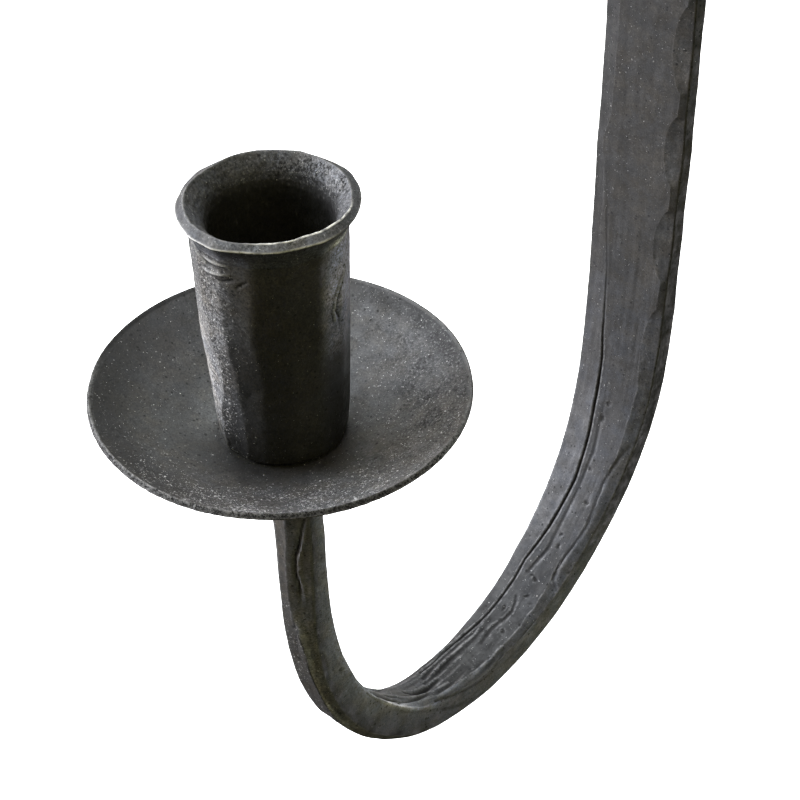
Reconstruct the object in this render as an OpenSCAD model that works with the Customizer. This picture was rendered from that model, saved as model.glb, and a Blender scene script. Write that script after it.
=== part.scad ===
// Wall candle holder.
// A forged flat bar lies on the wall, sweeps forward in a tapering bend and rises
// as a slim stem under a dished drip pan and a flared candle cup.
// Millimetres. +Z is up, +Y points into the wall, and the wall face is the plane Y = 0.
// The origin is on the wall face, midway between the two screw holes of the bar.
// The bar, the stem and the cup's axis all lie in the plane X = 0.

/* [Wall bar] */
// Width of the flat bar on the wall
bar_w = 22; // [19:0.5:25]
// Thickness of the flat bar on the wall
bar_t = 5.5; // [5:0.25:6.5]
// Height of the bar's rounded top end above the middle of the screw holes
bar_top = 57; // [55:1:80]
// How far the hammered bevels reach across the bar's front face
bevel_w = 2.4; // [1:0.2:3]
// How deep the hammered bevels cut into the bar's thickness
bevel_t = 0.9; // [0.5:0.1:1.2]

/* [Wall screws] */
// Distance between the two screw holes
hole_spacing = 90; // [80:1:90]
// Diameter of the screw holes
hole_d = 5; // [4:0.5:5.5]
// Diameter of the countersinks at the bar's front
sink_d = 9.6; // [8:0.2:10]

/* [Bend and stem] */
// Distance from the wall to the candle's axis
reach = 113.5; // [105:0.5:125]
// Height from the drip pan's rim up to the middle of the screw holes
rim_drop = 105; // [100:1:110]
// Depth of the bend's centreline below the drip pan's rim
bend_drop = 118.3; // [110:0.1:126]
// Width of the stem across the bar's plane
stem_w = 8; // [7:0.5:10]
// Thickness of the bar at the bottom of the bend
bend_t = 9.4; // [8.4:0.2:10.4]

/* [Drip pan] */
// Outer diameter of the drip pan
pan_d = 70; // [64:1:80]
// Depth of the dish from its rim plane to its flat centre
pan_depth = 9.2; // [7:0.2:11]
// Sheet thickness of the pan
pan_t = 1.5; // [1.2:0.1:2]
// Diameter of the pan's flat centre
pan_flat_d = 23.2; // [23.2:0.2:26]

/* [Candle cup] */
// Height of the cup's lip above the pan's rim
lip_rise = 41.8; // [38:0.2:46]
// Outer diameter of the flared lip
lip_d = 31.6; // [30:0.2:34]
// Diameter of the straight bore that holds the candle
socket_d = 22; // [21:0.1:23]
// Outer diameter of the cup just under its lip
cup_top_d = 27.4; // [26.8:0.2:28.4]
// Outer diameter of the cup at its foot
cup_foot_d = 23.2; // [22.6:0.2:23.2]
// Inner diameter of the cup at its foot
cup_foot_bore = 19.6; // [19:0.2:20]

/* [Hidden] */

// Heights below are counted from the pan's rim plane, and distances from the cup's axis.
axis_y = -reach;
rim_z = -rim_drop;
pan_top = -pan_depth;               // top of the pan's flat centre
pan_under = -pan_depth - pan_t;     // underside of the pan's flat centre, on the stem
socket_low = 13;                    // the straight bore runs from here ...
socket_high = lip_rise - 4.8;       // ... up to here
floor_t = 2;
floor_top = pan_top + floor_t;
washer_t = 0.8;
spring_t = 0.9;
head_h = 2.6;
screw_d = 4;
tapped_d = 4.1;
tapped_depth = 8;
iron = [0.13, 0.13, 0.135];
zinc = [0.45, 0.46, 0.47];

// Stations along the bar's centreline, from the stem's head to the wall:
// [distance from the cup's axis, height from the pan's rim,
//  width share from stem (0) to wall bar (1), thickness share from wall bar (0) to bend (1)]
STATIONS = [
    [0, -10.7, 0.14, 1.10],
    [0.8, -18, 0.10, 0.90],
    [2.2, -28, 0.05, 0.72],
    [3.0, -38, 0.02, 0.67],
    [3.2, -50, 0.00, 0.70],
    [4.1, -64, 0.00, 0.80],
    [7.0, -79, 0.02, 0.90],
    [12.8, -94, 0.04, 0.95],
    [22, -106, 0.10, 1.00],
    [35, -115, 0.20, 1.00],
    [51, -118.3, 0.30, 0.97],
    [66, -116, 0.40, 0.85],
    [80, -109, 0.50, 0.75],
    [92, -98, 0.60, 0.65],
    [101, -85, 0.71, 0.57],
    [106.8, -70, 0.83, 0.46],
    [109.4, -53, 0.91, 0.38],
    [110.2, -36, 0.94, 0.23],
    [110.5, -18, 0.97, 0.10],
    [110.75, 0, 1.00, 0.00]];
STEPS = 4;                          // rings from one station to the next

// The stations follow the reach, the drop and the section sizes above.
ky = (reach - bar_t / 2) / 110.75;
kz = (bend_drop + pan_under) / (118.3 - 10.7);
function placed(s) = [
    s[0] * ky,
    pan_under + (s[1] + 10.7) * kz,
    stem_w + (bar_w - stem_w) * s[2],
    bar_t + (bend_t - bar_t) * s[3]];
P = [for (s = STATIONS) placed(s)];
last = len(P) - 1;
join_z = P[last][1];                // the straight wall bar starts here

// Smooth curve through the stations, and its direction
function before(i) = i > 0 ? P[i - 1] : 2 * P[0] - P[1];
function after(i) = i < last ? P[i + 1] : 2 * P[last] - P[last - 1];
function curve(i, t) = 0.5 * (2 * P[i] + (P[i + 1] - before(i)) * t
    + (2 * before(i) - 5 * P[i] + 4 * P[i + 1] - after(i + 1)) * t * t
    + (3 * P[i] - before(i) - 3 * P[i + 1] + after(i + 1)) * t * t * t);
function slope(i, t) = 0.5 * ((P[i + 1] - before(i))
    + 2 * (2 * before(i) - 5 * P[i] + 4 * P[i + 1] - after(i + 1)) * t
    + 3 * (3 * P[i] - before(i) - 3 * P[i + 1] + after(i + 1)) * t * t);
function unit(v) = v / norm(v);

// Eight-sided section of the bar: w across, t thick, both bevels in proportion.
// Its second axis points to the inside of the bend, which is the front on the wall.
function section(w, t) =
    let (bw = bevel_w * w / bar_w, bt = bevel_t * (1 + 0.5 * (t - bar_t) / bar_t))
    [[-w / 2, t / 2 - bt], [-w / 2 + bw, t / 2], [w / 2 - bw, t / 2], [w / 2, t / 2 - bt],
     [w / 2, bt - t / 2], [w / 2 - bw, -t / 2], [bw - w / 2, -t / 2], [-w / 2, bt - t / 2]];
SIDES = 8;

// One ring of points: centre c, direction d in the YZ plane
function ring(c, d) = let (n = [-d[1], d[0]])
    [for (q = section(c[2], c[3])) [q[0], c[0] + q[1] * n[0], c[1] + q[1] * n[1]]];
RINGS = concat(
    [ring(P[0], [0, -1])],
    [for (i = [0 : last - 1], k = [0 : STEPS - 1]) if (i + k > 0)
        let (t = k / STEPS, s = slope(i, t)) ring(curve(i, t), unit([s[0], s[1]]))],
    [ring(P[last], [0, 1])]);

module sweep(rings, sides) {
    n = len(rings);
    polyhedron(
        points = [for (r = rings) for (p = r) p],
        faces = concat(
            [[for (j = [0 : sides - 1]) j]],
            [for (i = [0 : n - 2], j = [0 : sides - 1]) let (a = i * sides, b = a + sides, m = (j + 1) % sides)
                [a + j, b + j, b + m]],
            [for (i = [0 : n - 2], j = [0 : sides - 1]) let (a = i * sides, b = a + sides, m = (j + 1) % sides)
                [a + j, b + m, a + m]],
            [[for (j = [sides - 1 : -1 : 0]) (n - 1) * sides + j]]));
}

// Straight part of the bar on the wall, with its rounded top end
module wall_bar() {
    low = rim_z + join_z;
    end_z = bar_top - bar_w / 2;
    translate([0, -bar_t / 2, low])
        linear_extrude(end_z - low)
            mirror([0, 1]) polygon(section(bar_w, bar_t));
    translate([0, -bar_t / 2, end_z]) rotate([90, 0, 0])
        rotate_extrude($fn = 64)
            polygon([[0, bar_t / 2], [bar_w / 2 - bevel_w, bar_t / 2], [bar_w / 2, bar_t / 2 - bevel_t],
                     [bar_w / 2, bevel_t - bar_t / 2], [bar_w / 2 - bevel_w, -bar_t / 2], [0, -bar_t / 2]]);
}

module screw_hole(z) {
    translate([0, 1, z]) rotate([90, 0, 0]) cylinder(h = bar_t + 2, d = hole_d, $fn = 48);
    translate([0, -bar_t + (sink_d - hole_d) / 2, z]) rotate([90, 0, 0])
        cylinder(h = (sink_d - hole_d) / 2 + 0.5, d1 = hole_d, d2 = sink_d + 1, $fn = 48);
}

module arm() {
    color(iron) difference() {
        union() {
            wall_bar();
            translate([0, axis_y, rim_z]) sweep(RINGS, SIDES);
        }
        screw_hole(hole_spacing / 2);
        screw_hole(-hole_spacing / 2);
        translate([0, axis_y, rim_z + pan_under - tapped_depth])
            cylinder(h = tapped_depth + 1, d = tapped_d, $fn = 40);
    }
}

// The dish is a bowl: it rises with the square of the radius up to the inner edge of the rim,
// where the sheet's cut edge slants down and outwards.
flat_r = pan_flat_d / 2;
pan_r = pan_d / 2;
edge_r = pan_r - 0.73;
edge_rise = 0.59;
DISH_STEPS = 9;
bowl = (pan_depth + edge_rise) / (edge_r * edge_r - flat_r * flat_r);
function dish(r) = pan_top + bowl * (r * r - flat_r * flat_r);
function dish_r(i) = flat_r + (edge_r - flat_r) * i / DISH_STEPS;

module drip_pan() {
    color(iron) translate([0, axis_y, rim_z])
        rotate_extrude($fn = 96)
            polygon(concat(
                [[2.2, pan_top], [flat_r, pan_top]],
                [for (i = [1 : DISH_STEPS]) [dish_r(i), dish(dish_r(i))]],
                [[pan_r, -0.22], [pan_r - 0.06, -0.38], [pan_r - 0.5, -0.68]],
                [for (i = [DISH_STEPS - 1 : -1 : 1]) [dish_r(i) + 0.2, dish(dish_r(i)) - pan_t]],
                [[flat_r, pan_under], [2.2, pan_under]]));
}

foot_r = cup_foot_d / 2;
top_r = cup_top_d / 2;
lip_r = lip_d / 2;
socket_r = socket_d / 2;

module candle_cup() {
    color(iron) translate([0, axis_y, rim_z])
        rotate_extrude($fn = 96)
            polygon([
                // outside, from the foot up to the lip
                [foot_r, pan_top], [foot_r + 0.5, pan_top + 3], [foot_r + 1.1, pan_top + 10],
                [top_r - 0.5, 12], [top_r - 0.1, 28], [top_r, lip_rise - 6.2],
                [top_r + 0.3, lip_rise - 4.6], [top_r + 0.9, lip_rise - 3.1], [lip_r - 0.5, lip_rise - 1.7],
                [lip_r, lip_rise - 1.1],
                // the sloping edge of the lip, then down the inside
                [lip_r - 0.2, lip_rise - 0.8], [lip_r - 1.3, lip_rise - 0.1], [lip_r - 1.6, lip_rise],
                [socket_r + 2.4, lip_rise - 1.1], [socket_r + 1.3, lip_rise - 2.4],
                [socket_r + 0.5, lip_rise - 3.7],
                [socket_r, socket_high], [socket_r, socket_low],
                [cup_foot_bore / 2, floor_top + 4], [cup_foot_bore / 2, pan_top]]);
}

module cup_floor() {
    color(iron) translate([0, axis_y, rim_z])
        rotate_extrude($fn = 64)
            polygon([[2.2, pan_top], [cup_foot_bore / 2 - 0.05, pan_top],
                     [cup_foot_bore / 2 - 0.05, floor_top - 0.3], [cup_foot_bore / 2 - 0.4, floor_top],
                     [2.2, floor_top]]);
}

module flat_washer() {
    color(zinc) translate([0, axis_y, rim_z + floor_top])
        difference() {
            cylinder(h = washer_t, d = 9, $fn = 48);
            translate([0, 0, -1]) cylinder(h = washer_t + 2, d = 4.3, $fn = 48);
        }
}

module lock_washer() {
    color(zinc) translate([0, axis_y, rim_z + floor_top + washer_t])
        difference() {
            cylinder(h = spring_t, d = 7.6, $fn = 48);
            translate([0, 0, -1]) cylinder(h = spring_t + 2, d = 4.3, $fn = 48);
            // the split, cut on the slant
            rotate([0, 0, 20]) translate([0, 0, spring_t / 2]) rotate([30, 0, 0])
                translate([0, -0.3, -2]) cube([6, 0.6, 4]);
        }
}

module fixing_screw() {
    head_z = floor_top + washer_t + spring_t;
    color(zinc) translate([0, axis_y, rim_z + head_z])
        difference() {
            union() {
                // head with a rounded edge
                rotate_extrude($fn = 48)
                    polygon([[0, 0], [4, 0], [4, head_h - 1.2], [3.7, head_h - 0.5],
                             [3.1, head_h - 0.1], [2.4, head_h], [0, head_h]]);
                // shank and its point
                translate([0, 0, -11.2]) cylinder(h = 11.2, d = screw_d, $fn = 40);
                translate([0, 0, -12]) cylinder(h = 0.8, d1 = screw_d - 1.4, d2 = screw_d, $fn = 40);
            }
            // cross recess
            for (a = [0, 90]) rotate([0, 0, a])
                translate([-2, -0.4, head_h - 1.4]) cube([4, 0.8, 2]);
        }
}

arm();
drip_pan();
candle_cup();
cup_floor();
flat_washer();
lock_washer();
fixing_screw();
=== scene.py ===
"""Wall candle holder in hand-forged iron: flat bar on the wall, tapering bend and stem, dished drip pan and flared cup.
Everything is worked out in millimetres from the centre of the drip pan's rim, then moved to the wall frame in metres."""
import math
import bpy
import numpy as np
from mathutils import Matrix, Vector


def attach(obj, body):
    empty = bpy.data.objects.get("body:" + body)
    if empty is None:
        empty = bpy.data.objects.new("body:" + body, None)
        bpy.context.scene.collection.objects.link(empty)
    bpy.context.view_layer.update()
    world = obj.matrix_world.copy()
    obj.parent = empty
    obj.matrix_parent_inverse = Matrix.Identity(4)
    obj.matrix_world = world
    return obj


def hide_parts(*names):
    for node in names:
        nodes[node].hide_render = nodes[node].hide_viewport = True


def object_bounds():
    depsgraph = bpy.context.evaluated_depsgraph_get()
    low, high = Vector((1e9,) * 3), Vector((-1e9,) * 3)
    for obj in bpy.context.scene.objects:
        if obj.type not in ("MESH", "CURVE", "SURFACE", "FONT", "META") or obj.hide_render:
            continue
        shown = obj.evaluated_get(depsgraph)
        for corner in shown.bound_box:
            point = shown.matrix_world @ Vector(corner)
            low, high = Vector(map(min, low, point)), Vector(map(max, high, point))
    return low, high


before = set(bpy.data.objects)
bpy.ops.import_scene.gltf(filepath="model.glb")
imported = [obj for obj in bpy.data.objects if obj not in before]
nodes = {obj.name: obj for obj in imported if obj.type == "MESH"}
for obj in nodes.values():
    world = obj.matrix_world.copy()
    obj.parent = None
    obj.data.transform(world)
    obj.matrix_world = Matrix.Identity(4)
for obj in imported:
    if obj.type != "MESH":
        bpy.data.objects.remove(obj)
cad_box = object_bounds()

CUP_Y, RIM_Z = 113.5, 105.0      # wall to candle, screw midpoint down to the pan's rim (mm)


def to_frame(P):
    return (np.asarray(P, float).reshape(-1, 3) - np.array([0.0, CUP_Y, RIM_Z])) / 1000.0



# ------------------------------------------------------------------ noise
def hashed(i, j, k, seed):
    n = (i * 374761393 + j * 668265263 + k * 1440662683 + seed * 1274126177) & 0xFFFFFFFF
    n = ((n ^ (n >> 13)) * 1103515245) & 0xFFFFFFFF
    n = ((n ^ (n >> 15)) * 668265263) & 0xFFFFFFFF
    return n ^ (n >> 16)


def gnoise(p, size, seed):
    """Smooth gradient noise, about -1 to 1, with features of that size in mm."""
    p = np.asarray(p, float) / size
    i = np.floor(p).astype(np.int64)
    f = p - i
    u = f * f * f * (f * (f * 6 - 15) + 10)
    total = np.zeros(p.shape[:-1])
    for a in (0, 1):
        for b in (0, 1):
            for c in (0, 1):
                h = hashed(i[..., 0] + a, i[..., 1] + b, i[..., 2] + c, seed)
                g0 = (h & 1023) / 511.5 - 1
                g1 = ((h >> 10) & 1023) / 511.5 - 1
                g2 = ((h >> 20) & 1023) / 511.5 - 1
                dot = g0 * (f[..., 0] - a) + g1 * (f[..., 1] - b) + g2 * (f[..., 2] - c)
                w = (u[..., 0] if a else 1 - u[..., 0]) * (u[..., 1] if b else 1 - u[..., 1])
                total += dot * w * (u[..., 2] if c else 1 - u[..., 2])
    return total * 1.3


def fbm(p, size, seed, octaves=3, gain=0.5):
    out, amp = 0.0, 1.0
    for o in range(octaves):
        out = out + amp * gnoise(p, size / 2**o, seed + 17 * o)
        amp *= gain
    return out


def dents(s, q, cell_s, cell_q, seed, soft=0.06):
    """Shallow hammer marks: 0 at the middle of a mark, rising to about 0.5 at the ridges between marks."""
    a, b = s / cell_s, q / cell_q
    ia, ib = np.floor(a).astype(np.int64), np.floor(b).astype(np.int64)
    acc = np.zeros(np.shape(a))
    for da in (-1, 0, 1):
        for db in (-1, 0, 1):
            h = hashed(ia + da, ib + db, ia * 0 + 7, seed)
            ca = ia + da + 0.5 + 0.7 * ((h & 1023) / 1023 - 0.5)
            cb = ib + db + 0.5 + 0.7 * (((h >> 10) & 1023) / 1023 - 0.5)
            lift = 0.25 * ((h >> 20) & 1023) / 1023
            acc += np.exp(-((a - ca) ** 2 + (b - cb) ** 2 + lift) / soft)
    return -soft * np.log(acc + 1e-12)


def smooth01(x):
    x = np.clip(x, 0, 1)
    return x * x * (3 - 2 * x)


# ------------------------------------------------------------------ marks on a surface with coordinates (s, q) in mm
def carve(S, Q, marks):
    """Depth (mm, negative is cut in), weight of painted shade in the crevices and weight of lighter crests (painted
    highlight and wear) of the marks.
    A mark is (kind, [(s, q, depth, width), ...]): groove, crack, ridge, step or pit."""
    depth = np.zeros(S.shape)
    dark = np.zeros(S.shape)
    crest = np.zeros(S.shape)
    for kind, pts in marks:
        pts = np.array(pts, float)
        reach = 4.0 * pts[:, 3].max() + 0.4
        inside = (
            (S > pts[:, 0].min() - reach) & (S < pts[:, 0].max() + reach)
            & (Q > pts[:, 1].min() - reach) & (Q < pts[:, 1].max() + reach)
        )
        idx = np.nonzero(inside)
        if not len(idx[0]):
            continue
        s, q = S[idx], Q[idx]
        if kind == "pit":
            flat = np.stack([s, q, 0 * s], -1)
            ws, wq = gnoise(flat, 0.9, 201), gnoise(flat, 0.9, 203)
            for k, (ps, pq, d, w) in enumerate(pts):
                turn = 2.4 * k + 0.4
                a = (s - ps + 0.35 * ws) * np.cos(turn) + (q - pq + 0.35 * wq) * np.sin(turn)
                b = -(s - ps + 0.35 * ws) * np.sin(turn) + (q - pq + 0.35 * wq) * np.cos(turn)
                r2 = (a * a / 1.7 + b * b * 1.3) / w**2
                depth[idx] += -d * np.exp(-r2)
                dark[idx] = np.maximum(dark[idx], 0.5 * np.minimum(3 * d, 1) * np.exp(-r2 * 1.6))
            continue
        best = np.full(s.shape, 1e9)
        bd = np.zeros(s.shape)
        bw = np.ones(s.shape)
        bside = np.zeros(s.shape)
        for k in range(len(pts) - 1):
            a, b = pts[k], pts[k + 1]
            vs, vq = b[0] - a[0], b[1] - a[1]
            ln = max(vs * vs + vq * vq, 1e-9)
            t = ((s - a[0]) * vs + (q - a[1]) * vq) / ln
            tc = np.clip(t, 0, 1)
            ds, dq = s - (a[0] + tc * vs), q - (a[1] + tc * vq)
            dist = np.hypot(ds, dq)
            near = dist < best
            best = np.where(near, dist, best)
            bd = np.where(near, a[2] + tc * (b[2] - a[2]), bd)
            bw = np.where(near, a[3] + tc * (b[3] - a[3]), bw)
            bside = np.where(near, np.sign(vs * (q - a[1]) - vq * (s - a[0])), bside)
        x = best / bw
        if kind == "groove":
            depth[idx] += -bd * np.exp(-x * x)
            dark[idx] = np.maximum(dark[idx], 0.45 * np.minimum(bd * 2.5, 1) * np.exp(-x * x * 1.5))
        elif kind == "crack":
            depth[idx] += -bd * np.exp(-np.abs(x) ** 1.5) + 0.12 * bd * np.exp(-((x - 2.0) ** 2) / 0.6)
            dark[idx] = np.maximum(dark[idx], np.minimum(bd * 3, 1) * np.exp(-x * x * 1.2))
        elif kind == "ridge":
            depth[idx] += bd * np.exp(-x * x)
            crest[idx] = np.maximum(crest[idx], np.minimum(bd * 3, 1) * np.exp(-x * x * 1.8))
        elif kind == "step":
            # the surface drops on the positive side of the line and fades back over a few widths
            fade = np.exp(-x * x / 6)
            depth[idx] += -bd * smooth01(bside * x * 0.9 + 0.5) * fade
    return depth, dark, crest


# ------------------------------------------------------------------ the arm
STATIONS = [
    [0, -10.7, 0.14, 1.10], [0.8, -18, 0.10, 0.90], [2.2, -28, 0.05, 0.72], [3.0, -38, 0.02, 0.67],
    [3.2, -50, 0.00, 0.70], [4.1, -64, 0.00, 0.80], [7.0, -79, 0.02, 0.90], [12.8, -94, 0.04, 0.95],
    [22, -106, 0.10, 1.00], [35, -115, 0.20, 1.00], [51, -118.3, 0.30, 0.97], [66, -116, 0.40, 0.85],
    [80, -109, 0.50, 0.75], [92, -98, 0.60, 0.65], [101, -85, 0.71, 0.57], [106.8, -70, 0.83, 0.46],
    [109.4, -53, 0.91, 0.38], [110.2, -36, 0.94, 0.23], [110.5, -18, 0.97, 0.10], [110.75, 0, 1.00, 0.00],
]
BAR_W, BAR_T, STEM_W, BEND_T = 22.0, 5.5, 8.0, 9.4
BAR_RISE = 162.0          # straight bar above the pan's rim plane
END_R = 11.0


def arm_line():
    """Dense centreline: arc length, centre (y from the cup's axis, z from the rim), width, thickness, direction."""
    P = np.array([[a, b, STEM_W + (BAR_W - STEM_W) * w, BAR_T + (BEND_T - BAR_T) * t] for a, b, w, t in STATIONS])
    E = np.vstack([2 * P[0] - P[1], P, 2 * P[-1] - P[-2]])
    t = np.linspace(0, 1, 120, endpoint=False)[:, None]
    rows = []
    for i in range(len(P) - 1):
        a, b, c, d = E[i], E[i + 1], E[i + 2], E[i + 3]
        rows.append(0.5 * (2 * b + (c - a) * t + (2 * a - 5 * b + 4 * c - d) * t**2 + (3 * b - a - 3 * c + d) * t**3))
    rows.append(P[-1:])
    top = np.linspace(0, 1, 400)[1:, None]
    rows.append(np.hstack([np.full_like(top, P[-1, 0]), top * BAR_RISE, np.full_like(top, BAR_W), np.full_like(top, BAR_T)]))
    R = np.vstack(rows)
    ln = np.concatenate([[0], np.cumsum(np.hypot(*np.diff(R[:, :2], axis=0).T))])
    T = np.stack([np.gradient(R[:, 0], ln), np.gradient(R[:, 1], ln)], 1)
    T /= np.linalg.norm(T, axis=1)[:, None]
    k = np.exp(-ln / 2.5)[:, None]
    T = T * (1 - k) + np.array([0.0, -1.0]) * k
    T /= np.linalg.norm(T, axis=1)[:, None]
    return ln, R, T


LINE = arm_line()
S_BAR = float(LINE[0][-1] - BAR_RISE)      # arc length where the straight bar starts
S_END = float(LINE[0][-1])


def ring_spots():
    """Arc lengths of the rings: close together where the forging marks are, wider on the plain bar above."""
    knots = np.array([0, 8, 60, 95, S_BAR - 60, S_BAR, S_BAR + 38, S_BAR + 60, S_END - 12, S_END])
    gaps = np.array([0.5, 0.38, 0.34, 0.27, 0.27, 0.36, 0.40, 0.95, 0.95, 0.45])
    out, s = [0.0], 0.0
    while True:
        s += float(np.interp(s, knots, gaps))
        if s > S_END - 0.2:
            break
        out.append(s)
    out.append(S_END)
    return np.array(out)


COUNT = [50, 14, 16, 15, 18, 6, 9, 20]     # columns on: front, front right bevel, right side, back right, back, back left, left side, front left
ROUND = [0.45, 0.45, 0.5, 0.5, 0.5, 0.5, 0.5, 0.45]


def arm_base(bevels, round_k=1.0):
    """Grid of the arm's smooth surface, its edges on fixed columns.
    Returns s (rings), q (rings, columns), the points and the length round each ring."""
    s = ring_spots()
    ln, R, T = LINE
    cy, cz, w, t = (np.interp(s, ln, R[:, k]) for k in range(4))
    ty, tz = np.interp(s, ln, T[:, 0]), np.interp(s, ln, T[:, 1])
    m = np.hypot(ty, tz)
    ty, tz = ty / m, tz / m
    ny, nz = -tz, ty
    (fr, frt), (fl, flt), (br, brt), (bl, blt) = bevels
    W, H = w / 2, t / 2
    corners = [(-W + fl, H), (W - fr, H), (W, H - frt), (W, -H + brt), (W - br, -H), (-W + bl, -H), (-W, -H + blt), (-W, H - flt)]
    V = np.stack([np.stack(c, -1) for c in corners], 1)            # rings, 8, 2
    E = np.roll(V, -1, axis=1) - V
    size = np.linalg.norm(E, axis=2)
    D = E / size[..., None]
    turn = np.arccos(np.clip((D * np.roll(D, 1, axis=1)).sum(-1), -1, 1))    # at each corner
    rad = np.array(ROUND)[None, :] * round_k * np.interp(s, [0, 60, 120, 200, 444], [1.9, 1.8, 1.5, 1.0, 1.0])[:, None]
    tan = rad * np.tan(turn / 2)
    room = 0.48 * np.minimum(size, np.roll(size, 1, axis=1))
    rad = rad * np.minimum(1, room / np.maximum(tan, 1e-6))
    tan = rad * np.tan(turn / 2)
    cut = tan - rad * np.sin(turn / 2)
    xs, nn = [], []
    for k in range(8):
        n_col = COUNT[k]
        v = np.arange(n_col) / n_col
        v = 0.6 * v + 0.4 * (0.5 - 0.5 * np.cos(np.pi * v))
        k2 = (k + 1) % 8
        lo, hi = cut[:, k], size[:, k] - cut[:, k2]
        along = lo[:, None] + (hi - lo)[:, None] * v[None, :]
        inward = np.zeros_like(along)
        for cc, dist in ((k, along), (k2, size[:, k][:, None] - along)):
            r = rad[:, cc][:, None]
            over = np.clip(tan[:, cc][:, None] - dist, 0, None)
            inward += r - np.sqrt(np.clip(r * r - over * over, 0, None))
        nrm = np.stack([D[:, k, 1], -D[:, k, 0]], -1)
        p = V[:, k, None, :] + D[:, k, None, :] * along[..., None] + nrm[:, None, :] * inward[..., None]
        xs.append(p[..., 0])
        nn.append(p[..., 1])
    X, N = np.concatenate(xs, 1), np.concatenate(nn, 1)
    # the bar's top end is a half round
    mid = S_END - END_R
    v = np.clip((s - mid) / END_R, 0, 1)[:, None]
    xh = np.clip(X / END_R, -1, 1)
    along = np.where(v > 0, END_R * v * np.sqrt(1 - xh * xh / 2) - END_R * v, 0.0)
    X = np.where(v > 0, END_R * xh * np.sqrt(1 - v * v / 2), X)
    rho = np.sqrt(X**2 + (along + END_R * v) ** 2)
    cap = BAR_T / 2 - 1.0 * np.clip(1 - (END_R - rho) / 2.6, 0, 1) ** 1.5
    N = np.where((v > 0) & (np.abs(N) > cap), np.sign(N) * cap, N)
    Y = cy[:, None] + N * ny[:, None] + along * ty[:, None]
    Z = cz[:, None] + N * nz[:, None] + along * tz[:, None]
    P = np.stack([X, Y, Z], -1)
    step = np.linalg.norm(np.roll(P, -1, axis=1) - P, axis=2)
    around = np.cumsum(step, axis=1)
    total = around[:, -1:]
    q = np.concatenate([np.zeros((len(s), 1)), around[:, :-1]], axis=1) + X[:, :1]
    q = np.where(q > total / 2, q - total, q)
    return s, q, P, total


def surface_normals(P, wrap_i=False, wrap_j=True):
    def diff(A, axis, wrap):
        if wrap:
            return np.roll(A, -1, axis) - np.roll(A, 1, axis)
        return np.gradient(A, axis=axis)
    di, dj = diff(P, 0, wrap_i), diff(P, 1, wrap_j)
    n = np.cross(dj, di)
    return n / np.maximum(np.linalg.norm(n, axis=2, keepdims=True), 1e-12)


# Hammered bevels along the arm's four edges: (arc length, reach across, depth into the thickness)
EDGE_FR = [(0, 2.0, 1.45), (20, 1.9, 1.35), (45, 1.7, 1.15), (75, 1.3, 0.9), (100, 1.2, 1.0), (125, 1.3, 1.0), (150, 1.8, 1.3), (168, 2.9, 1.5),
           (180, 2.1, 1.2), (193, 2.9, 1.3), (215, 3.2, 1.3), (240, 1.6, 0.8), (444, 1.5, 0.8)]
EDGE_FL = [(0, 2.6, 2.2), (20, 2.4, 1.9), (45, 2.2, 1.7), (75, 1.8, 1.3), (98, 2.6, 1.9), (113, 2.4, 1.7), (134, 1.4, 0.75), (149, 2.8, 0.6), (166, 3.6, 0.55),
           (177, 5.4, 0.8), (190, 6.8, 0.95), (202, 6.8, 1.0), (217, 6.3, 0.95), (230, 6.0, 0.95), (248, 5.2, 0.8),
           (262, 3.4, 0.6), (279, 2.0, 0.5), (286, 3.7, 0.85), (300, 4.0, 0.95), (320, 4.0, 0.95), (444, 3.2, 0.9)]
EDGE_BR = [(0, 3.4, 2.6), (20, 3.8, 3.0), (38, 4.5, 3.0), (48, 3.9, 2.8), (56, 1.9, 2.3), (70, 1.5, 1.9), (84, 1.4, 2.1), (96, 1.0, 1.7), (108, 0.9, 1.35), (120, 0.8, 1.2),
           (150, 0.9, 1.2), (200, 1.0, 1.3), (250, 1.0, 1.5), (300, 0.9, 1.6), (444, 0.9, 1.3)]
EDGE_BL = [(0, 1.5, 0.9), (45, 1.4, 1.2), (75, 1.2, 1.2), (120, 1.0, 0.9), (200, 1.1, 1.0), (300, 0.9, 1.0), (444, 0.9, 1.0)]
BLOWS_FR = [(307, 10, 4.3), (283, 8.5, 4.5), (259, 9, 4.5), (231, 11, 4.2), (333, 11, 4.2), (357, 12, 4.0), (384, 11, 4.3), (408, 10, 4.0)]
BLOWS_FL = [(345, 12, 4.6), (372, 10, 4.2), (396, 12, 4.4), (420, 9, 4.0)]


def edge(s, table, blows=(), slope=0.33, wander=0.0, seed=0):
    t = np.array(table, float)
    bw, bt = np.interp(s, t[:, 0], t[:, 1]), np.interp(s, t[:, 0], t[:, 2])
    path = np.stack([s, 0 * s, 0 * s], -1)
    bw = bw * (1 + wander * (gnoise(path, 9, 301 + seed) + 0.7 * gnoise(path, 3.1, 311 + seed)))
    for c, h, r in blows:
        x = np.clip(1 - ((s - c) / h) ** 2, 0, None) ** 0.7
        wide = bw + (r - bw) * x
        bt = np.where(wide > bw, np.maximum(bt, wide * slope), bt)
        bw = np.maximum(bw, wide)
    return bw, bt


def arm_edges(s):
    return [edge(s, EDGE_FR, BLOWS_FR, 0.24, 0.22, 1), edge(s, EDGE_FL, BLOWS_FL, 0.24, 0.07, 2), edge(s, EDGE_BR, wander=0.12, seed=3), edge(s, EDGE_BL)]
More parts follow.
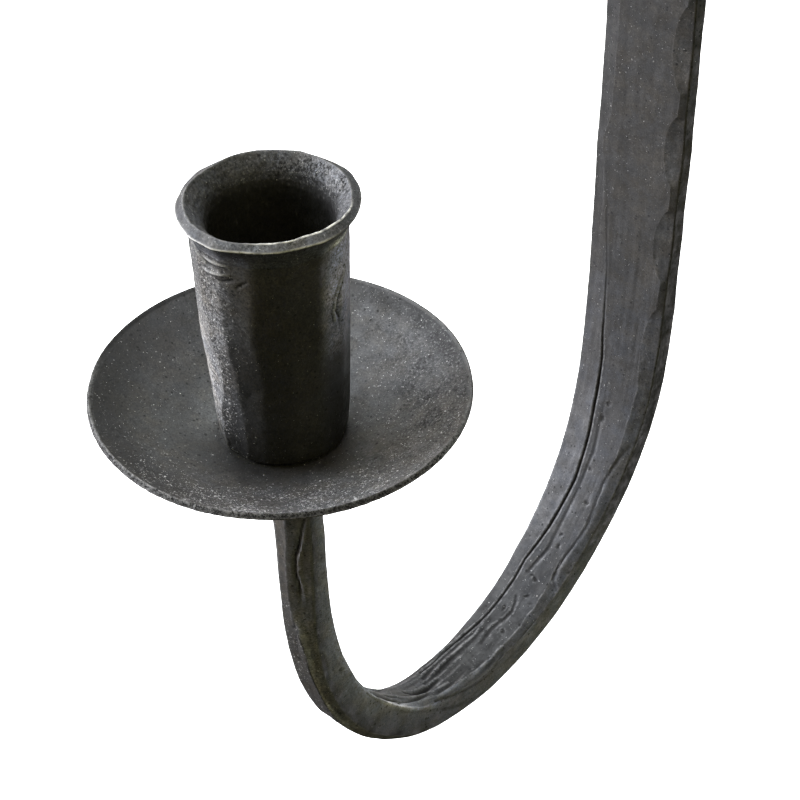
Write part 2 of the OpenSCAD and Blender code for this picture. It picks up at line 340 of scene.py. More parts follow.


# Painted light and shade on each face of the arm, how much lighter or darker each face is drawn: (arc length, times the
# plain scale)
ARM_FACE_LIGHT = [
    [(0, 1.0), (76, 3.5), (84, 6.5), (93, 2.0), (104, 1.6), (118, 0.6), (128, 0.1), (150, 0.1), (165, 0.4), (180, 0.8), (190, 0.9), (444, 0.9)],   # front
    [(0, 1.2), (62, 1.8), (72, 6.0), (84, 5.0), (98, 8.5), (110, 3.0), (135, 1.0), (160, 1.5), (175, 2.2), (222, 2.0), (230, 1.6), (444, 1.8)],     # front right bevel
    [(0, 2.4), (18, 3.2), (24, 7.4), (44, 6.4), (74, 6.4), (105, 4.4), (134, 4.8), (152, 5.4), (170, 4.6), (184, 2.4), (194, 0.9), (444, 1.15)],   # right side
    [(0, 3.0), (20, 3.8), (100, 3.8), (120, 2.2), (140, 1.2), (444, 1.0)],                            # back right
    [(0, 1.0), (22, 2.0), (34, 1.3), (50, 1.0), (62, 0.4), (80, 0.5), (92, 1.4), (110, 1.2), (444, 1.0)],       # back
    [(0, 1.0), (26, 0.5), (34, 0.15), (46, 0.2), (62, 0.8), (444, 1.0)],                                          # back left
    [(0, 1.0), (444, 1.0)],                                                                           # left side
    [(0, 1.0), (105, 1.0), (120, 0.2), (158, 0.15), (174, 0.6), (190, 1.1), (215, 1.1), (230, 1.0), (250, 0.8), (265, 0.3), (300, 0.3), (444, 0.5)], # front left
]


# ------------------------------------------------------------------ forging marks: (arc length, distance round from the
# middle of the inside face, depth, width), all in mm
INSIDE_MARKS = [
    # long fold that runs up the bar and down the inside of the bend
    ("crack", [(276, -7.7, 0.02, 0.25), (260.3, -6.3, 0.03, 0.25), (247.6, -5.1, 0.08, 0.26), (238.3, -4.7, 0.16, 0.25),
               (230.1, -4.3, 0.26, 0.27), (223.0, -3.5, 0.36, 0.30), (216.8, -3.4, 0.55, 0.33), (209.4, -3.0, 0.55, 0.33),
               (202.3, -2.3, 0.50, 0.30), (195.0, -1.9, 0.50, 0.30), (189.8, -1.5, 0.50, 0.30), (182.8, -2.0, 0.50, 0.30),
               (176.9, -2.3, 0.50, 0.30), (172.0, -2.9, 0.45, 0.28), (166.3, -3.7, 0.40, 0.26), (160.4, -3.3, 0.40, 0.26),
               (154.7, -3.3, 0.35, 0.26), (149.0, -3.4, 0.35, 0.28), (142.8, -4.0, 0.40, 0.30), (137.5, -4.6, 0.45, 0.35),
               (131.4, -4.6, 0.50, 0.40), (122.6, -3.8, 0.50, 0.40)]),
    # shallow line beside it
    ("groove", [(213.2, -0.5, 0.05, 0.40), (205.5, -0.4, 0.16, 0.50), (199.2, 0.3, 0.20, 0.50), (194.4, 0.1, 0.20, 0.45),
                (189.0, 0.2, 0.12, 0.45), (184.7, 0.0, 0.20, 0.45), (179.3, -0.1, 0.22, 0.45), (175.3, 0.0, 0.15, 0.50),
                (171.6, 0.1, 0.25, 0.50), (168.6, -0.6, 0.28, 0.45), (166.4, -1.0, 0.28, 0.40), (163.7, -1.4, 0.10, 0.35)]),
    # line towards the right edge
    ("groove", [(205.7, 9.8, 0.05, 0.50), (201.1, 7.5, 0.12, 0.50), (195.9, 6.1, 0.20, 0.50), (192.3, 5.7, 0.25, 0.50),
                (188.8, 5.7, 0.18, 0.60), (185.7, 6.0, 0.22, 0.60), (180.6, 6.2, 0.25, 0.50), (177.1, 5.8, 0.20, 0.45),
                (174.2, 5.4, 0.22, 0.45), (170.9, 4.9, 0.30, 0.50), (168.0, 4.8, 0.40, 0.50), (165.4, 5.3, 0.25, 0.40),
                (163.6, 7.1, 0.15, 0.40)]),
    ("step", [(168.0, 4.8, 0.20, 0.9), (164.6, 5.4, 0.25, 1.0), (162.7, 7.6, 0.20, 0.9), (160.4, 8.1, 0.12, 0.8)]),
    # short lap in the middle of the bend
    ("groove", [(157.0, -0.3, 0.15, 0.40), (155.3, 0.5, 0.25, 0.40), (153.1, 1.1, 0.30, 0.40), (150.2, 0.8, 0.30, 0.45),
                (148.1, 0.2, 0.28, 0.45), (146.4, 0.0, 0.30, 0.50), (143.7, 0.1, 0.30, 0.50), (141.3, 0.5, 0.12, 0.50)]),
    ("groove", [(146.1, -3.5, 0.12, 0.50), (142.1, -2.9, 0.20, 0.50), (139.1, -3.7, 0.22, 0.60), (134.8, -3.5, 0.25, 0.60),
                (131.3, -3.6, 0.30, 0.60), (126.2, -2.9, 0.40, 0.60), (121.5, -1.7, 0.45, 0.60)]),
    ("ridge", [(148.8, -3.0, 0.10, 0.50), (141.8, -2.4, 0.18, 0.60), (135.4, -2.6, 0.20, 0.60), (128.8, -2.3, 0.22, 0.60),
               (123.4, -1.1, 0.20, 0.60)]),
    # wrinkles that fan out of the tight part of the bend
    ("groove", [(152.1, -1.8, 0.08, 0.60), (144.5, -1.7, 0.12, 0.60), (137.5, -1.6, 0.20, 0.60), (131.8, -1.8, 0.30, 0.60),
                (125.2, -0.9, 0.35, 0.60), (119.7, -0.1, 0.30, 0.50)]),
    ("crack", [(85.1, 3.3, 0.50, 0.45), (93.1, 2.8, 1.10, 0.55), (98.8, 2.9, 1.10, 0.50), (102.1, 3.2, 0.60, 0.40)]),
    ("crack", [(110.6, 0.2, 0.40, 0.45), (112.8, 1.4, 1.00, 0.60), (116.9, 1.6, 1.10, 0.60), (120.9, 1.1, 0.80, 0.55),
               (123.8, 0.8, 0.35, 0.45)]),
    ("groove", [(102.0, 3.9, 0.30, 0.40), (107.8, 3.5, 0.40, 0.40), (113.1, 3.3, 0.35, 0.40), (120.8, 2.4, 0.20, 0.40)]),
    ("ridge", [(85.1, 3.9, 0.40, 0.50), (92.1, 4.1, 0.50, 0.50), (97.6, 4.3, 0.50, 0.50), (104.1, 5.0, 0.40, 0.50),
               (111.2, 5.9, 0.25, 0.55), (117.1, 6.6, 0.15, 0.55)]),
    ("ridge", [(90.3, 1.9, 0.35, 0.55), (100.3, 0.8, 0.40, 0.55), (104.6, 1.4, 0.40, 0.55), (109.3, 2.5, 0.40, 0.55),
               (114.4, 2.6, 0.45, 0.55), (120.1, 2.9, 0.35, 0.55), (124.8, 3.0, 0.20, 0.60)]),
    ("groove", [(117.2, 5.6, 0.30, 0.50), (122.6, 6.4, 0.30, 0.50), (128.5, 7.6, 0.25, 0.50), (134.0, 8.4, 0.20, 0.60),
                (140.3, 9.2, 0.15, 0.60), (147.4, 9.6, 0.10, 0.60)]),
    ("groove", [(118.4, 8.4, 0.20, 0.50), (124.0, 10.4, 0.22, 0.50), (129.6, 12.2, 0.18, 0.50), (134.5, 12.8, 0.10, 0.50)]),
    ("ridge", [(118.9, 4.6, 0.10, 0.60), (125.1, 5.0, 0.15, 0.70), (130.4, 5.3, 0.15, 0.70), (137.0, 5.2, 0.15, 0.70),
               (142.9, 4.9, 0.12, 0.70)]),
    ("groove", [(142.2, 6.5, 0.10, 0.35), (139.5, 7.0, 0.20, 0.35), (137.6, 7.8, 0.20, 0.35)]),
    ("groove", [(148.2, 7.2, 0.08, 0.40), (151.4, 7.2, 0.18, 0.40), (154.7, 7.3, 0.12, 0.40)]),
    ("groove", [(131.0, -5.4, 0.15, 0.45), (120.0, -5.0, 0.25, 0.45), (109.8, -3.7, 0.30, 0.50), (100.3, -1.3, 0.25, 0.50)]),
    ("ridge", [(136.0, -5.6, 0.15, 0.45), (126.0, -5.6, 0.22, 0.45), (115.0, -4.4, 0.20, 0.45), (104.0, -2.4, 0.15, 0.45)]),
    ("pit", [(211.7, 0.5, 0.30, 0.50), (207.4, 0.1, 0.32, 0.55), (194.1, 1.1, 0.30, 0.45), (186.0, 3.6, 0.28, 0.50),
             (176.1, 1.5, 0.30, 0.40), (173.1, 2.2, 0.32, 0.50), (163.2, 1.3, 0.35, 0.50), (163.7, 0.0, 0.20, 0.35),
             (158.4, 2.0, 0.30, 0.45), (152.9, -1.1, 0.25, 0.50), (147.3, 2.6, 0.28, 0.45), (171.2, 8.3, 0.15, 0.50),
             (168.9, 7.6, 0.15, 0.40), (291.8, -0.2, 0.04, 0.80), (285.8, -1.8, 0.05, 0.60), (300.2, -3.2, 0.04, 0.50),
             (301.1, 0.5, 0.04, 0.50), (138.8, 4.7, 0.20, 0.40), (133.0, 3.3, 0.18, 0.50), (151.1, 5.0, 0.15, 0.40),
             (158.6, 8.6, 0.12, 0.50), (157.1, 3.8, 0.12, 0.50), (69.3, 6.3, 0.30, 0.40), (33.5, 5.8, 0.12, 0.40),
             (37.9, 5.5, 0.12, 0.40), (78.0, 8.2, 0.15, 0.40), (106.7, 11.7, 0.10, 0.50), (320, 3.0, 0.05, 0.7),
             (344, -2.2, 0.05, 0.9), (372, 1.5, 0.05, 0.8), (401, -3.5, 0.05, 0.8)]),
]
# On the stem the distance round runs on past the back, so it is never negative.
STEM_MARKS = [
    ("crack", [(20.5, 9.3, 0.20, 0.24), (23.1, 10.0, 0.30, 0.26), (26.0, 10.4, 0.40, 0.28), (28.9, 10.9, 0.55, 0.30),
               (31.8, 11.6, 0.60, 0.30), (35.7, 11.7, 0.50, 0.28), (39.4, 11.1, 0.40, 0.27), (42.6, 11.1, 0.25, 0.24),
               (45.0, 11.1, 0.10, 0.24)]),
    ("ridge", [(21.3, 8.8, 0.08, 0.30), (26.0, 9.7, 0.14, 0.30), (29.3, 10.2, 0.18, 0.30), (32.3, 10.8, 0.18, 0.30),
               (36.1, 10.9, 0.16, 0.30), (39.9, 10.4, 0.14, 0.30), (43.2, 10.2, 0.08, 0.30)]),
    ("groove", [(48.4, 13.2, 0.04, 0.40), (51.3, 12.9, 0.10, 0.45), (56.4, 14.3, 0.12, 0.50), (61.3, 14.5, 0.08, 0.50)]),
    ("groove", [(47.5, 11.2, 0.04, 0.40), (50.8, 11.1, 0.08, 0.40), (53.9, 10.6, 0.08, 0.40), (57.2, 11.7, 0.06, 0.40)]),
    ("groove", [(54.0, 12.7, 0.06, 0.40), (56.0, 12.3, 0.10, 0.50), (56.9, 10.8, 0.08, 0.40), (57.7, 8.4, 0.05, 0.40)]),
    ("ridge", [(52.5, 13.3, 0.06, 0.50), (54.4, 13.1, 0.08, 0.50), (58.3, 12.6, 0.06, 0.50)]),
    ("groove", [(62.3, 12.2, 0.12, 0.60), (69.3, 12.4, 0.20, 0.60), (77.2, 12.1, 0.20, 0.70), (82.3, 11.7, 0.12, 0.60)]),
    ("ridge", [(57.2, 10.3, 0.12, 0.50), (59.4, 8.3, 0.15, 0.50), (63.1, 8.2, 0.12, 0.50), (68.5, 9.0, 0.10, 0.50)]),
    ("pit", [(50.9, 13.5, 0.30, 0.50), (61.1, 14.6, 0.25, 0.50), (34.4, 11.2, 0.20, 0.30), (89.5, 11.3, 0.20, 0.50),
             (84.8, 13.6, 0.20, 0.60), (79.9, 13.7, 0.20, 0.50)]),
]


def arm_surface():
    bevels = arm_edges(ring_spots())
    s, Q, P, total = arm_base(bevels)
    S = np.broadcast_to(s[:, None], Q.shape)
    n = surface_normals(P)
    around = np.where(Q < 0, Q + total, Q)
    inside = smooth01(1.2 - np.abs(Q) / (0.32 * total))                 # 1 on the inside face
    on_wall = smooth01((S - S_BAR + 6) / 12) * smooth01((np.abs(Q) - 0.36 * total) / 1.5)
    tight = np.exp(-(((S - 118) / 26) ** 2))                            # tightest part of the bend
    stem = smooth01((62 - S) / 8)
    bend = smooth01((S - 100) / 40) * smooth01((285 - S) / 40)
    # broad hammer marks, then finer unevenness
    d = -0.20 * (0.5 - np.clip(dents(S, Q, 10.5, 6.5, 11), 0, 0.5)) * (1 - 0.4 * stem)
    d += 0.10 * fbm(P, 11, 3, 2) + 0.045 * fbm(P, 3.2, 5, 2) + 0.012 * fbm(P, 1.0, 9, 2)
    # forging lines along the bar
    lines = gnoise(np.stack([S / 22, Q / 1.15, 0 * S], -1), 1.0, 31)
    fine = gnoise(np.stack([S / 9, Q / 0.55, 0 * S + 4], -1), 1.0, 37)
    d += inside * (0.018 + 0.030 * bend) * lines + inside * (0.005 + 0.007 * bend) * fine
    # wrinkles where the inside of the bend was squeezed
    pleat = gnoise(np.stack([S / 15, (Q + 0.10 * (S - 118)) / 1.35, 0 * S], -1), 1.0, 41)
    pleat2 = gnoise(np.stack([S / 9, (Q + 0.06 * (S - 118)) / 0.8, 0 * S + 2], -1), 1.0, 43)
    d += inside * tight * (0.26 * pleat + 0.03 * pleat2)
    d += 0.05 * np.exp(-(((S - 54) / 9) ** 2)) * fbm(P, 1.6, 47, 2)
    # the marks' crevices and pits get painted shade
    a, dark_a, crest_a = carve(S, Q, INSIDE_MARKS)
    b, dark_b, crest_b = carve(S, around, STEM_MARKS)
    d = (d + a + b) * (1 - on_wall) - 0.05 * on_wall * (0.5 + 0.5 * gnoise(P, 5, 51))
    d *= smooth01(S / 3)                                                # the head under the pan stays true
    P = P + n * d[..., None]
    dark = np.maximum(dark_a, dark_b)
    # painted light and shade by face, times the scale's tone with forging lines and blotches
    face = np.repeat(np.arange(8), COUNT)
    tone = np.stack([np.interp(s, *np.array(ARM_FACE_LIGHT[k], float).T) for k in face], 1)
    # painted light: the stem's side is drawn lighter towards the inside of the bend
    start = int(np.sum(COUNT[:2]))
    across = (np.arange(COUNT[2]) + 0.5) / COUNT[2]
    tone[:, start:start + COUNT[2]] *= 1 + (0.5 - across)[None, :] * (1.7 * smooth01((140 - s) / 40))[:, None]
    # painted light: the lighter band from the stem's back runs over onto the bevel beside it
    start += COUNT[2]
    across = (np.arange(COUNT[3]) + 0.5) / COUNT[3]
    over = smooth01((s - 44) / 12) * smooth01((96 - s) / 14)
    reach = 0.52 + 0.28 * gnoise(np.stack([s / 4.0, 0 * s, 0 * s], -1), 1.0, 171)
    tone[:, start:start + COUNT[3]] *= 1 + 1.3 * over[:, None] * smooth01((across[None, :] - reach[:, None]) / 0.22)
    tone = tone * (1 + 0.32 * lines + 0.2 * fine) * np.exp(0.34 * fbm(P, 4.5, 331, 3, 0.6))
    # ridge crests drawn lighter: partly painted highlight, partly wear
    tone = tone * (1 + 1.2 * np.maximum(crest_a, crest_b))
    warm = smooth01((135 - S) / 30) * np.array([0.4, 0.2, 0.0, 0.5, 0.9, 0.9, 0.6, 0.4])[face][None, :] + smooth01((S - 225) / 40) * 0.55 + 0.1 * smooth01((S - 120) / 20)
    P[..., 1] = np.minimum(P[..., 1], 113.5)
    P[..., 2] = np.clip(P[..., 2], -122.95, 162.0)
    return S, Q, P, dark, tone, warm


# ------------------------------------------------------------------ cup and pan
VIEW_AZ = np.radians(42.0)


def around_axis(phi):
    """Unit directions round the cup's axis. 0 is the side that shows in front, +90 degrees is towards the wall bar's right."""
    return np.stack([np.cos(phi) * np.sin(VIEW_AZ) + np.sin(phi) * np.cos(VIEW_AZ),
                     -np.cos(phi) * np.cos(VIEW_AZ) + np.sin(phi) * np.sin(VIEW_AZ)], -1)


# ridges between the cup's hammered facets: (height, angle) pairs in mm and degrees
CUP_RIDGES = [
    [(-9, -94), (40, -96)],
    [(-9, -56), (0.4, -54), (6.7, -45), (13.7, -44), (17, -53), (25, -57), (40, -60)],
    [(-9, -27), (0, -28), (8.5, -30), (13, -30.5), (16, -35), (22, -37), (40, -34)],
    [(-9, -10), (6.4, -9), (11.5, -7), (17, -10), (21.4, -14), (30, -11), (40, -11)],
    [(-9, 12), (10, 16), (24, 11), (40, 15)],
    [(-9, 39), (5, 38), (14, 36), (25, 37), (40, 40)],
    [(-9, 62), (15, 66), (40, 64)],
    [(-9, 92), (40, 88)],
    [(-9, 124), (12, 120), (40, 127)],
    [(-9, 155), (20, 160), (40, 154)],
    [(-9, 190), (14, 186), (40, 192)],
    [(-9, 221), (25, 216), (40, 222)],
    [(-9, 245), (12, 241), (40, 246)],
]
TUBE_Z = [-9.2, -5.0, -0.8, 5.7, 12.4, 20.0, 28.0, 33.0, 36.0, 42.0]
TUBE_LEFT = [11.8, 12.25, 12.5, 13.1, 13.8, 14.05, 14.4, 14.6, 14.5, 14.35]
TUBE_RIGHT = [12.2, 12.5, 12.75, 12.95, 13.1, 13.25, 13.4, 13.55, 13.6, 13.6]
CUP_MARKS = [   # (height, distance round in mm with 0 in front, depth, width)
    ("ridge", [(37.6, -18.2, 0.20, 0.30), (36.4, -15.6, 0.30, 0.28), (35.2, -13.2, 0.36, 0.26), (34.6, -12.2, 0.20, 0.26)]),
    ("crack", [(37.2, -17.2, 0.15, 0.24), (36.0, -14.6, 0.30, 0.25), (35.0, -12.6, 0.45, 0.27), (34.8, -11.2, 0.50, 0.30), (34.9, -9.6, 0.42, 0.30), (34.8, -8.2, 0.20, 0.26)]),
    ("ridge", [(35.9, -12.4, 0.16, 0.26), (35.8, -10.8, 0.34, 0.28), (35.9, -9.2, 0.36, 0.28), (36.0, -7.8, 0.22, 0.26), (35.9, -6.8, 0.10, 0.24)]),
    ("ridge", [(33.4, -13.0, 0.12, 0.28), (33.4, -11.4, 0.34, 0.30), (33.7, -9.8, 0.34, 0.30), (34.0, -8.2, 0.26, 0.28), (34.2, -7.0, 0.12, 0.26)]),
    ("crack", [(32.7, -9.6, 0.15, 0.24), (32.6, -8.6, 0.34, 0.26), (32.8, -7.6, 0.34, 0.26), (33.4, -6.2, 0.16, 0.24)]),
    ("crack", [(31.9, -5.6, 0.10, 0.24), (32.8, -4.6, 0.30, 0.25), (33.4, -3.7, 0.12, 0.24)]),
    ("ridge", [(37.3, -16.4, 0.10, 0.24), (36.9, -14.8, 0.22, 0.24), (36.3, -13.6, 0.10, 0.24)]),
    ("groove", [(31.5, -10.5, 0.05, 0.9), (29.5, -8.6, 0.12, 1.0), (27.5, -8.2, 0.05, 0.9)]),
    ("crack", [(31.6, 18.6, 0.12, 0.26), (29.8, 16.6, 0.20, 0.26), (28.1, 15.3, 0.28, 0.27), (26.4, 14.4, 0.32, 0.28), (25.0, 13.8, 0.34, 0.30)]),
    ("ridge", [(31.0, 17.0, 0.12, 0.32), (28.3, 14.4, 0.24, 0.32), (25.6, 12.9, 0.28, 0.34), (23.0, 12.1, 0.26, 0.34), (20.6, 12.5, 0.16, 0.34)]),
    ("crack", [(25.4, 13.6, 0.32, 0.32), (24.0, 13.1, 0.42, 0.34), (22.4, 13.2, 0.42, 0.34), (21.2, 13.5, 0.25, 0.30)]),
    ("ridge", [(25.2, 14.6, 0.14, 0.34), (23.6, 14.4, 0.18, 0.34), (21.8, 14.4, 0.14, 0.34)]),
    ("groove", [(20.5, 13.6, 0.12, 0.5), (18.0, 13.9, 0.08, 0.5)]),
    ("pit", [(25.3, 13.3, 0.35, 0.5), (22.6, 13.2, 0.4, 0.55), (30.5, 15.9, 0.2, 0.4), (33.0, 17.8, 0.2, 0.4), (4.0, -13.8, 0.2, 0.6),
             (-2.0, -11.5, 0.2, 0.6), (-5.0, -12.8, 0.25, 0.6), (-7.0, -10.0, 0.2, 0.6), (-3.5, -14.6, 0.25, 0.5), (27.6, -13.0, 0.1, 0.6),
             (14.5, 13.9, 0.10, 0.6), (32.2, 6.0, 0.06, 0.8), (8.0, -4.6, 0.08, 0.6)]),
]


def tube_radius(phi, z):
    """Radius of the cup's hammered outside at an angle (radians) and a height."""
    left, right = np.interp(z, TUBE_Z, TUBE_LEFT), np.interp(z, TUBE_Z, TUBE_RIGHT)
    R = (left + right) / 2 + (right - left) / 2 * np.sin(phi)
    ridges = np.array([[np.interp(zz, [p[0] for p in r], [p[1] for p in r]) for r in CUP_RIDGES] for zz in np.unique(z)])
    ridges += 1.8 * gnoise(np.stack(np.broadcast_arrays(np.unique(z)[:, None] / 2.6, np.arange(len(CUP_RIDGES))[None, :] * 5.3, 0.0), -1), 1.0, 163)
    lookup = {zz: k for k, zz in enumerate(np.unique(z))}
    row = np.array([lookup[zz] for zz in z[0]])
    deg = np.degrees(phi)
    soft = 0.045 + 0.16 * smooth01((deg + 25) / 30) * smooth01((150 - deg) / 40) + 0.10 * smooth01((z - 17) / 8) * smooth01((deg + 130) / 20) * smooth01((20 - deg) / 20)
    acc = np.zeros(R.shape)
    for k in range(len(CUP_RIDGES)):
        a = ridges[row, k][None, :]
        b = ridges[row, (k + 1) % len(CUP_RIDGES)][None, :] + (360 if k == len(CUP_RIDGES) - 1 else 0)
        mid, half = (a + b) / 2, (b - a) / 2
        off = (deg - mid + 180) % 360 - 180
        face = np.cos(np.radians(half)) / np.maximum(np.cos(np.radians(np.clip(off, -80, 80))), 0.15)
        acc += np.exp(-(R * face) / soft + R / soft)
    plane = R - soft * np.log(acc)
    rounder = 0.08 + 0.22 * smooth01((-deg - 50) / 20) * smooth01((deg + 150) / 20)
    return rounder * R + (1 - rounder) * plane


# painted light and shade on the cup's facets, how bright each facet is drawn (height above the rim plane: value), one
# row per ridge that starts it
CUP_FACET_LIGHT = [
    [(-9, 1.8), (-5, 3.4), (0, 4.5), (6, 4.3), (17, 3.7), (23, 1.4), (30, 0.6), (36, 0.7)],
    [(-9, 0.0), (-4, 0.35), (0, 0.8), (4, 1.9), (8, 3.2), (12, 4.6), (18, 4.1), (24, 2.2), (30, 2.1), (36, 1.6)],
    [(-9, 0.2), (2, 0.45), (14, 0.5), (20, 1.0), (24, 1.4), (32, 1.5), (36, 1.2)],
    [(-9, 0.3), (14, 0.4), (30, 0.8), (36, 1.0)],
    [(-9, 0.5), (20, 0.6), (36, 1.0)],
    [(-9, 0.1), (6, 0.2), (12, 0.8), (17, 4.6), (22, 5.4), (26, 11.0), (34, 10.0), (36, 9.5)],
    [(-9, 0.0), (6, 0.1), (12, 0.8), (20, 6.2), (26, 9.0), (32, 8.2), (36, 9.0)],
    [(-9, 0.1), (10, 0.3), (22, 3.2), (36, 3.4)], [(-9, 0.9), (36, 1.0)], [(-9, 1.0), (36, 1.0)], [(-9, 1.0), (36, 1.0)], [(-9, 1.2), (36, 1.2)], [(-9, 2.0), (20, 1.8), (28, 0.6), (36, 0.5)],
]
FACET_LIGHT_BLEND = [3.0, 3.2, 6.0, 9, 12, 20, 14, 12, 8, 6, 6, 6, 3]      # degrees over which each ridge's change of tone is spread


def cup_painted_light(phi, z):
    """Painted light and shade on the cup's outside, facet by facet."""
    deg = np.degrees(phi) + 1.6 * gnoise(np.stack([np.degrees(phi) / 5, z / 1.2, 0 * z], -1), 1.0, 131)
    out = np.zeros(phi.shape)
    zz = z[0]
    for k in range(len(CUP_RIDGES)):
        j = (k + 1) % len(CUP_RIDGES)
        a = np.interp(zz, *np.array(CUP_RIDGES[k], float).T)[None, :] + (8 if k == 5 else 0)
        b = np.interp(zz, *np.array(CUP_RIDGES[j], float).T)[None, :] + (360 if j == 0 else 8 if j == 5 else 0)
        off = (deg - a + 180) % 360 - 180
        off = np.where(off < -60, off + 360, off)
        inside = smooth01(off / FACET_LIGHT_BLEND[k] + 0.5) * smooth01((b - a - off) / FACET_LIGHT_BLEND[j] + 0.5)
        out += inside * np.interp(z, *np.array(CUP_FACET_LIGHT[k], float).T)
    # on the left the painted light moves from the far side of the facets at the foot to the near side under the lip
    lean = np.tanh((np.degrees(phi) + 68) / 10) * (np.degrees(phi) < -30) * (np.degrees(phi) > -110)
    out = out * (1 + (2 * smooth01((z - 16) / 6) - 1) * 0.42 * lean)
    # painted shade: darker low down along the ridge near -35 degrees
    out = out * (1 - 0.5 * np.exp(-(((np.degrees(phi) + 35) / 6) ** 2)) * smooth01((19 - z) / 6))
    return np.clip(out, 0.0, 12)


def cup_profile():
    """Closed profile of the cup (radius, height, zone): zone 0 outside, 1 lip, 2 inside, 3 foot ring."""
    pts = []

    def run(a, b, gap, zone):
        n = max(1, int(round(np.hypot(b[0] - a[0], b[1] - a[1]) / gap)))
        for k in range(n):
            pts.append((a[0] + (b[0] - a[0]) * k / n, a[1] + (b[1] - a[1]) * k / n, zone))

    out = [(10.5, -9.2), (11.3, -9.0), (11.9, -8.3), (12.0, -7.2), (12.4, 0), (13.0, 10), (13.5, 20), (13.7, 30), (13.72, 36.6)]
    for a, b in zip(out[:-1], out[1:]):
        run(a, b, 0.22, 0)
    lip = [(13.72, 36.6), (13.85, 37.3), (14.15, 38.1), (14.6, 38.9), (15.1, 39.6), (15.55, 40.12), (15.74, 40.36), (15.80, 40.50), (15.76, 40.62),
           (15.66, 40.72), (14.46, 41.70), (14.36, 41.78), (14.26, 41.80), (14.17, 41.74)]
    for a, b in zip(lip[:-1], lip[1:]):
        run(a, b, 0.18, 1)
    ins = [(14.17, 41.74), (12.9, 40.3), (12.0, 38.9), (11.4, 37.6), (11.1, 36.4), (11.0, 35), (11.0, 13), (9.8, -3.2), (9.8, -9.2)]
    for a, b, g in zip(ins[:-1], ins[1:], (0.24, 0.24, 0.24, 0.3, 0.35, 0.6, 0.9, 1.2)):
        run(a, b, g, 2)
    run((9.8, -9.2), (10.5, -9.2), 0.5, 3)
    return np.array(pts)


# the lip's two edges as they were beaten out: (angle, radius)
LIP_INNER = [(-180, 14.06), (-170, 14.25), (-160, 14.25), (-150, 14.15), (-140, 13.85), (-130, 13.75), (-118, 13.99), (-110, 14.2), (-101, 14.5),
             (-91, 14.55), (-81, 14.63), (-71, 14.76), (-60, 14.95), (-45, 14.87), (-33, 14.92), (-24, 14.7), (-17, 14.38), (-8, 14.05), (0, 13.88),
             (9, 13.82), (15, 13.85), (22, 13.55), (28, 13.35), (34, 13.5), (40, 13.76), (51, 13.75), (59, 14.05), (70, 14.15), (77, 14.22), (86, 13.96),
             (105, 13.9), (115, 14.05), (127, 14.05), (140, 14.0), (150, 14.15), (160, 14.35), (170, 14.1), (180, 14.06)]
LIP_OUTER = [(-180, 15.4), (-165, 15.55), (-150, 15.65), (-135, 15.7), (-126, 15.85), (-111, 15.75), (-101, 15.75), (-96, 15.85), (-91, 16.05), (-85, 16.12),
             (-78, 16.2), (-64, 16.25), (-57, 16.33), (-51, 16.45), (-45, 16.34), (-39, 16.3), (-34, 16.38), (-30, 16.18), (-25, 15.82), (-20, 15.39),
             (-14, 15.1), (-6, 15.1), (5, 15.08), (10, 14.95), (18, 14.76), (30, 14.86), (39, 15.2), (49, 15.29), (63, 15.3), (74, 15.4), (93, 15.55),
             (102, 15.7), (110, 15.82), (121, 16.05), (130, 16.05), (143, 15.85), (153, 15.75), (165, 15.6), (180, 15.4)]


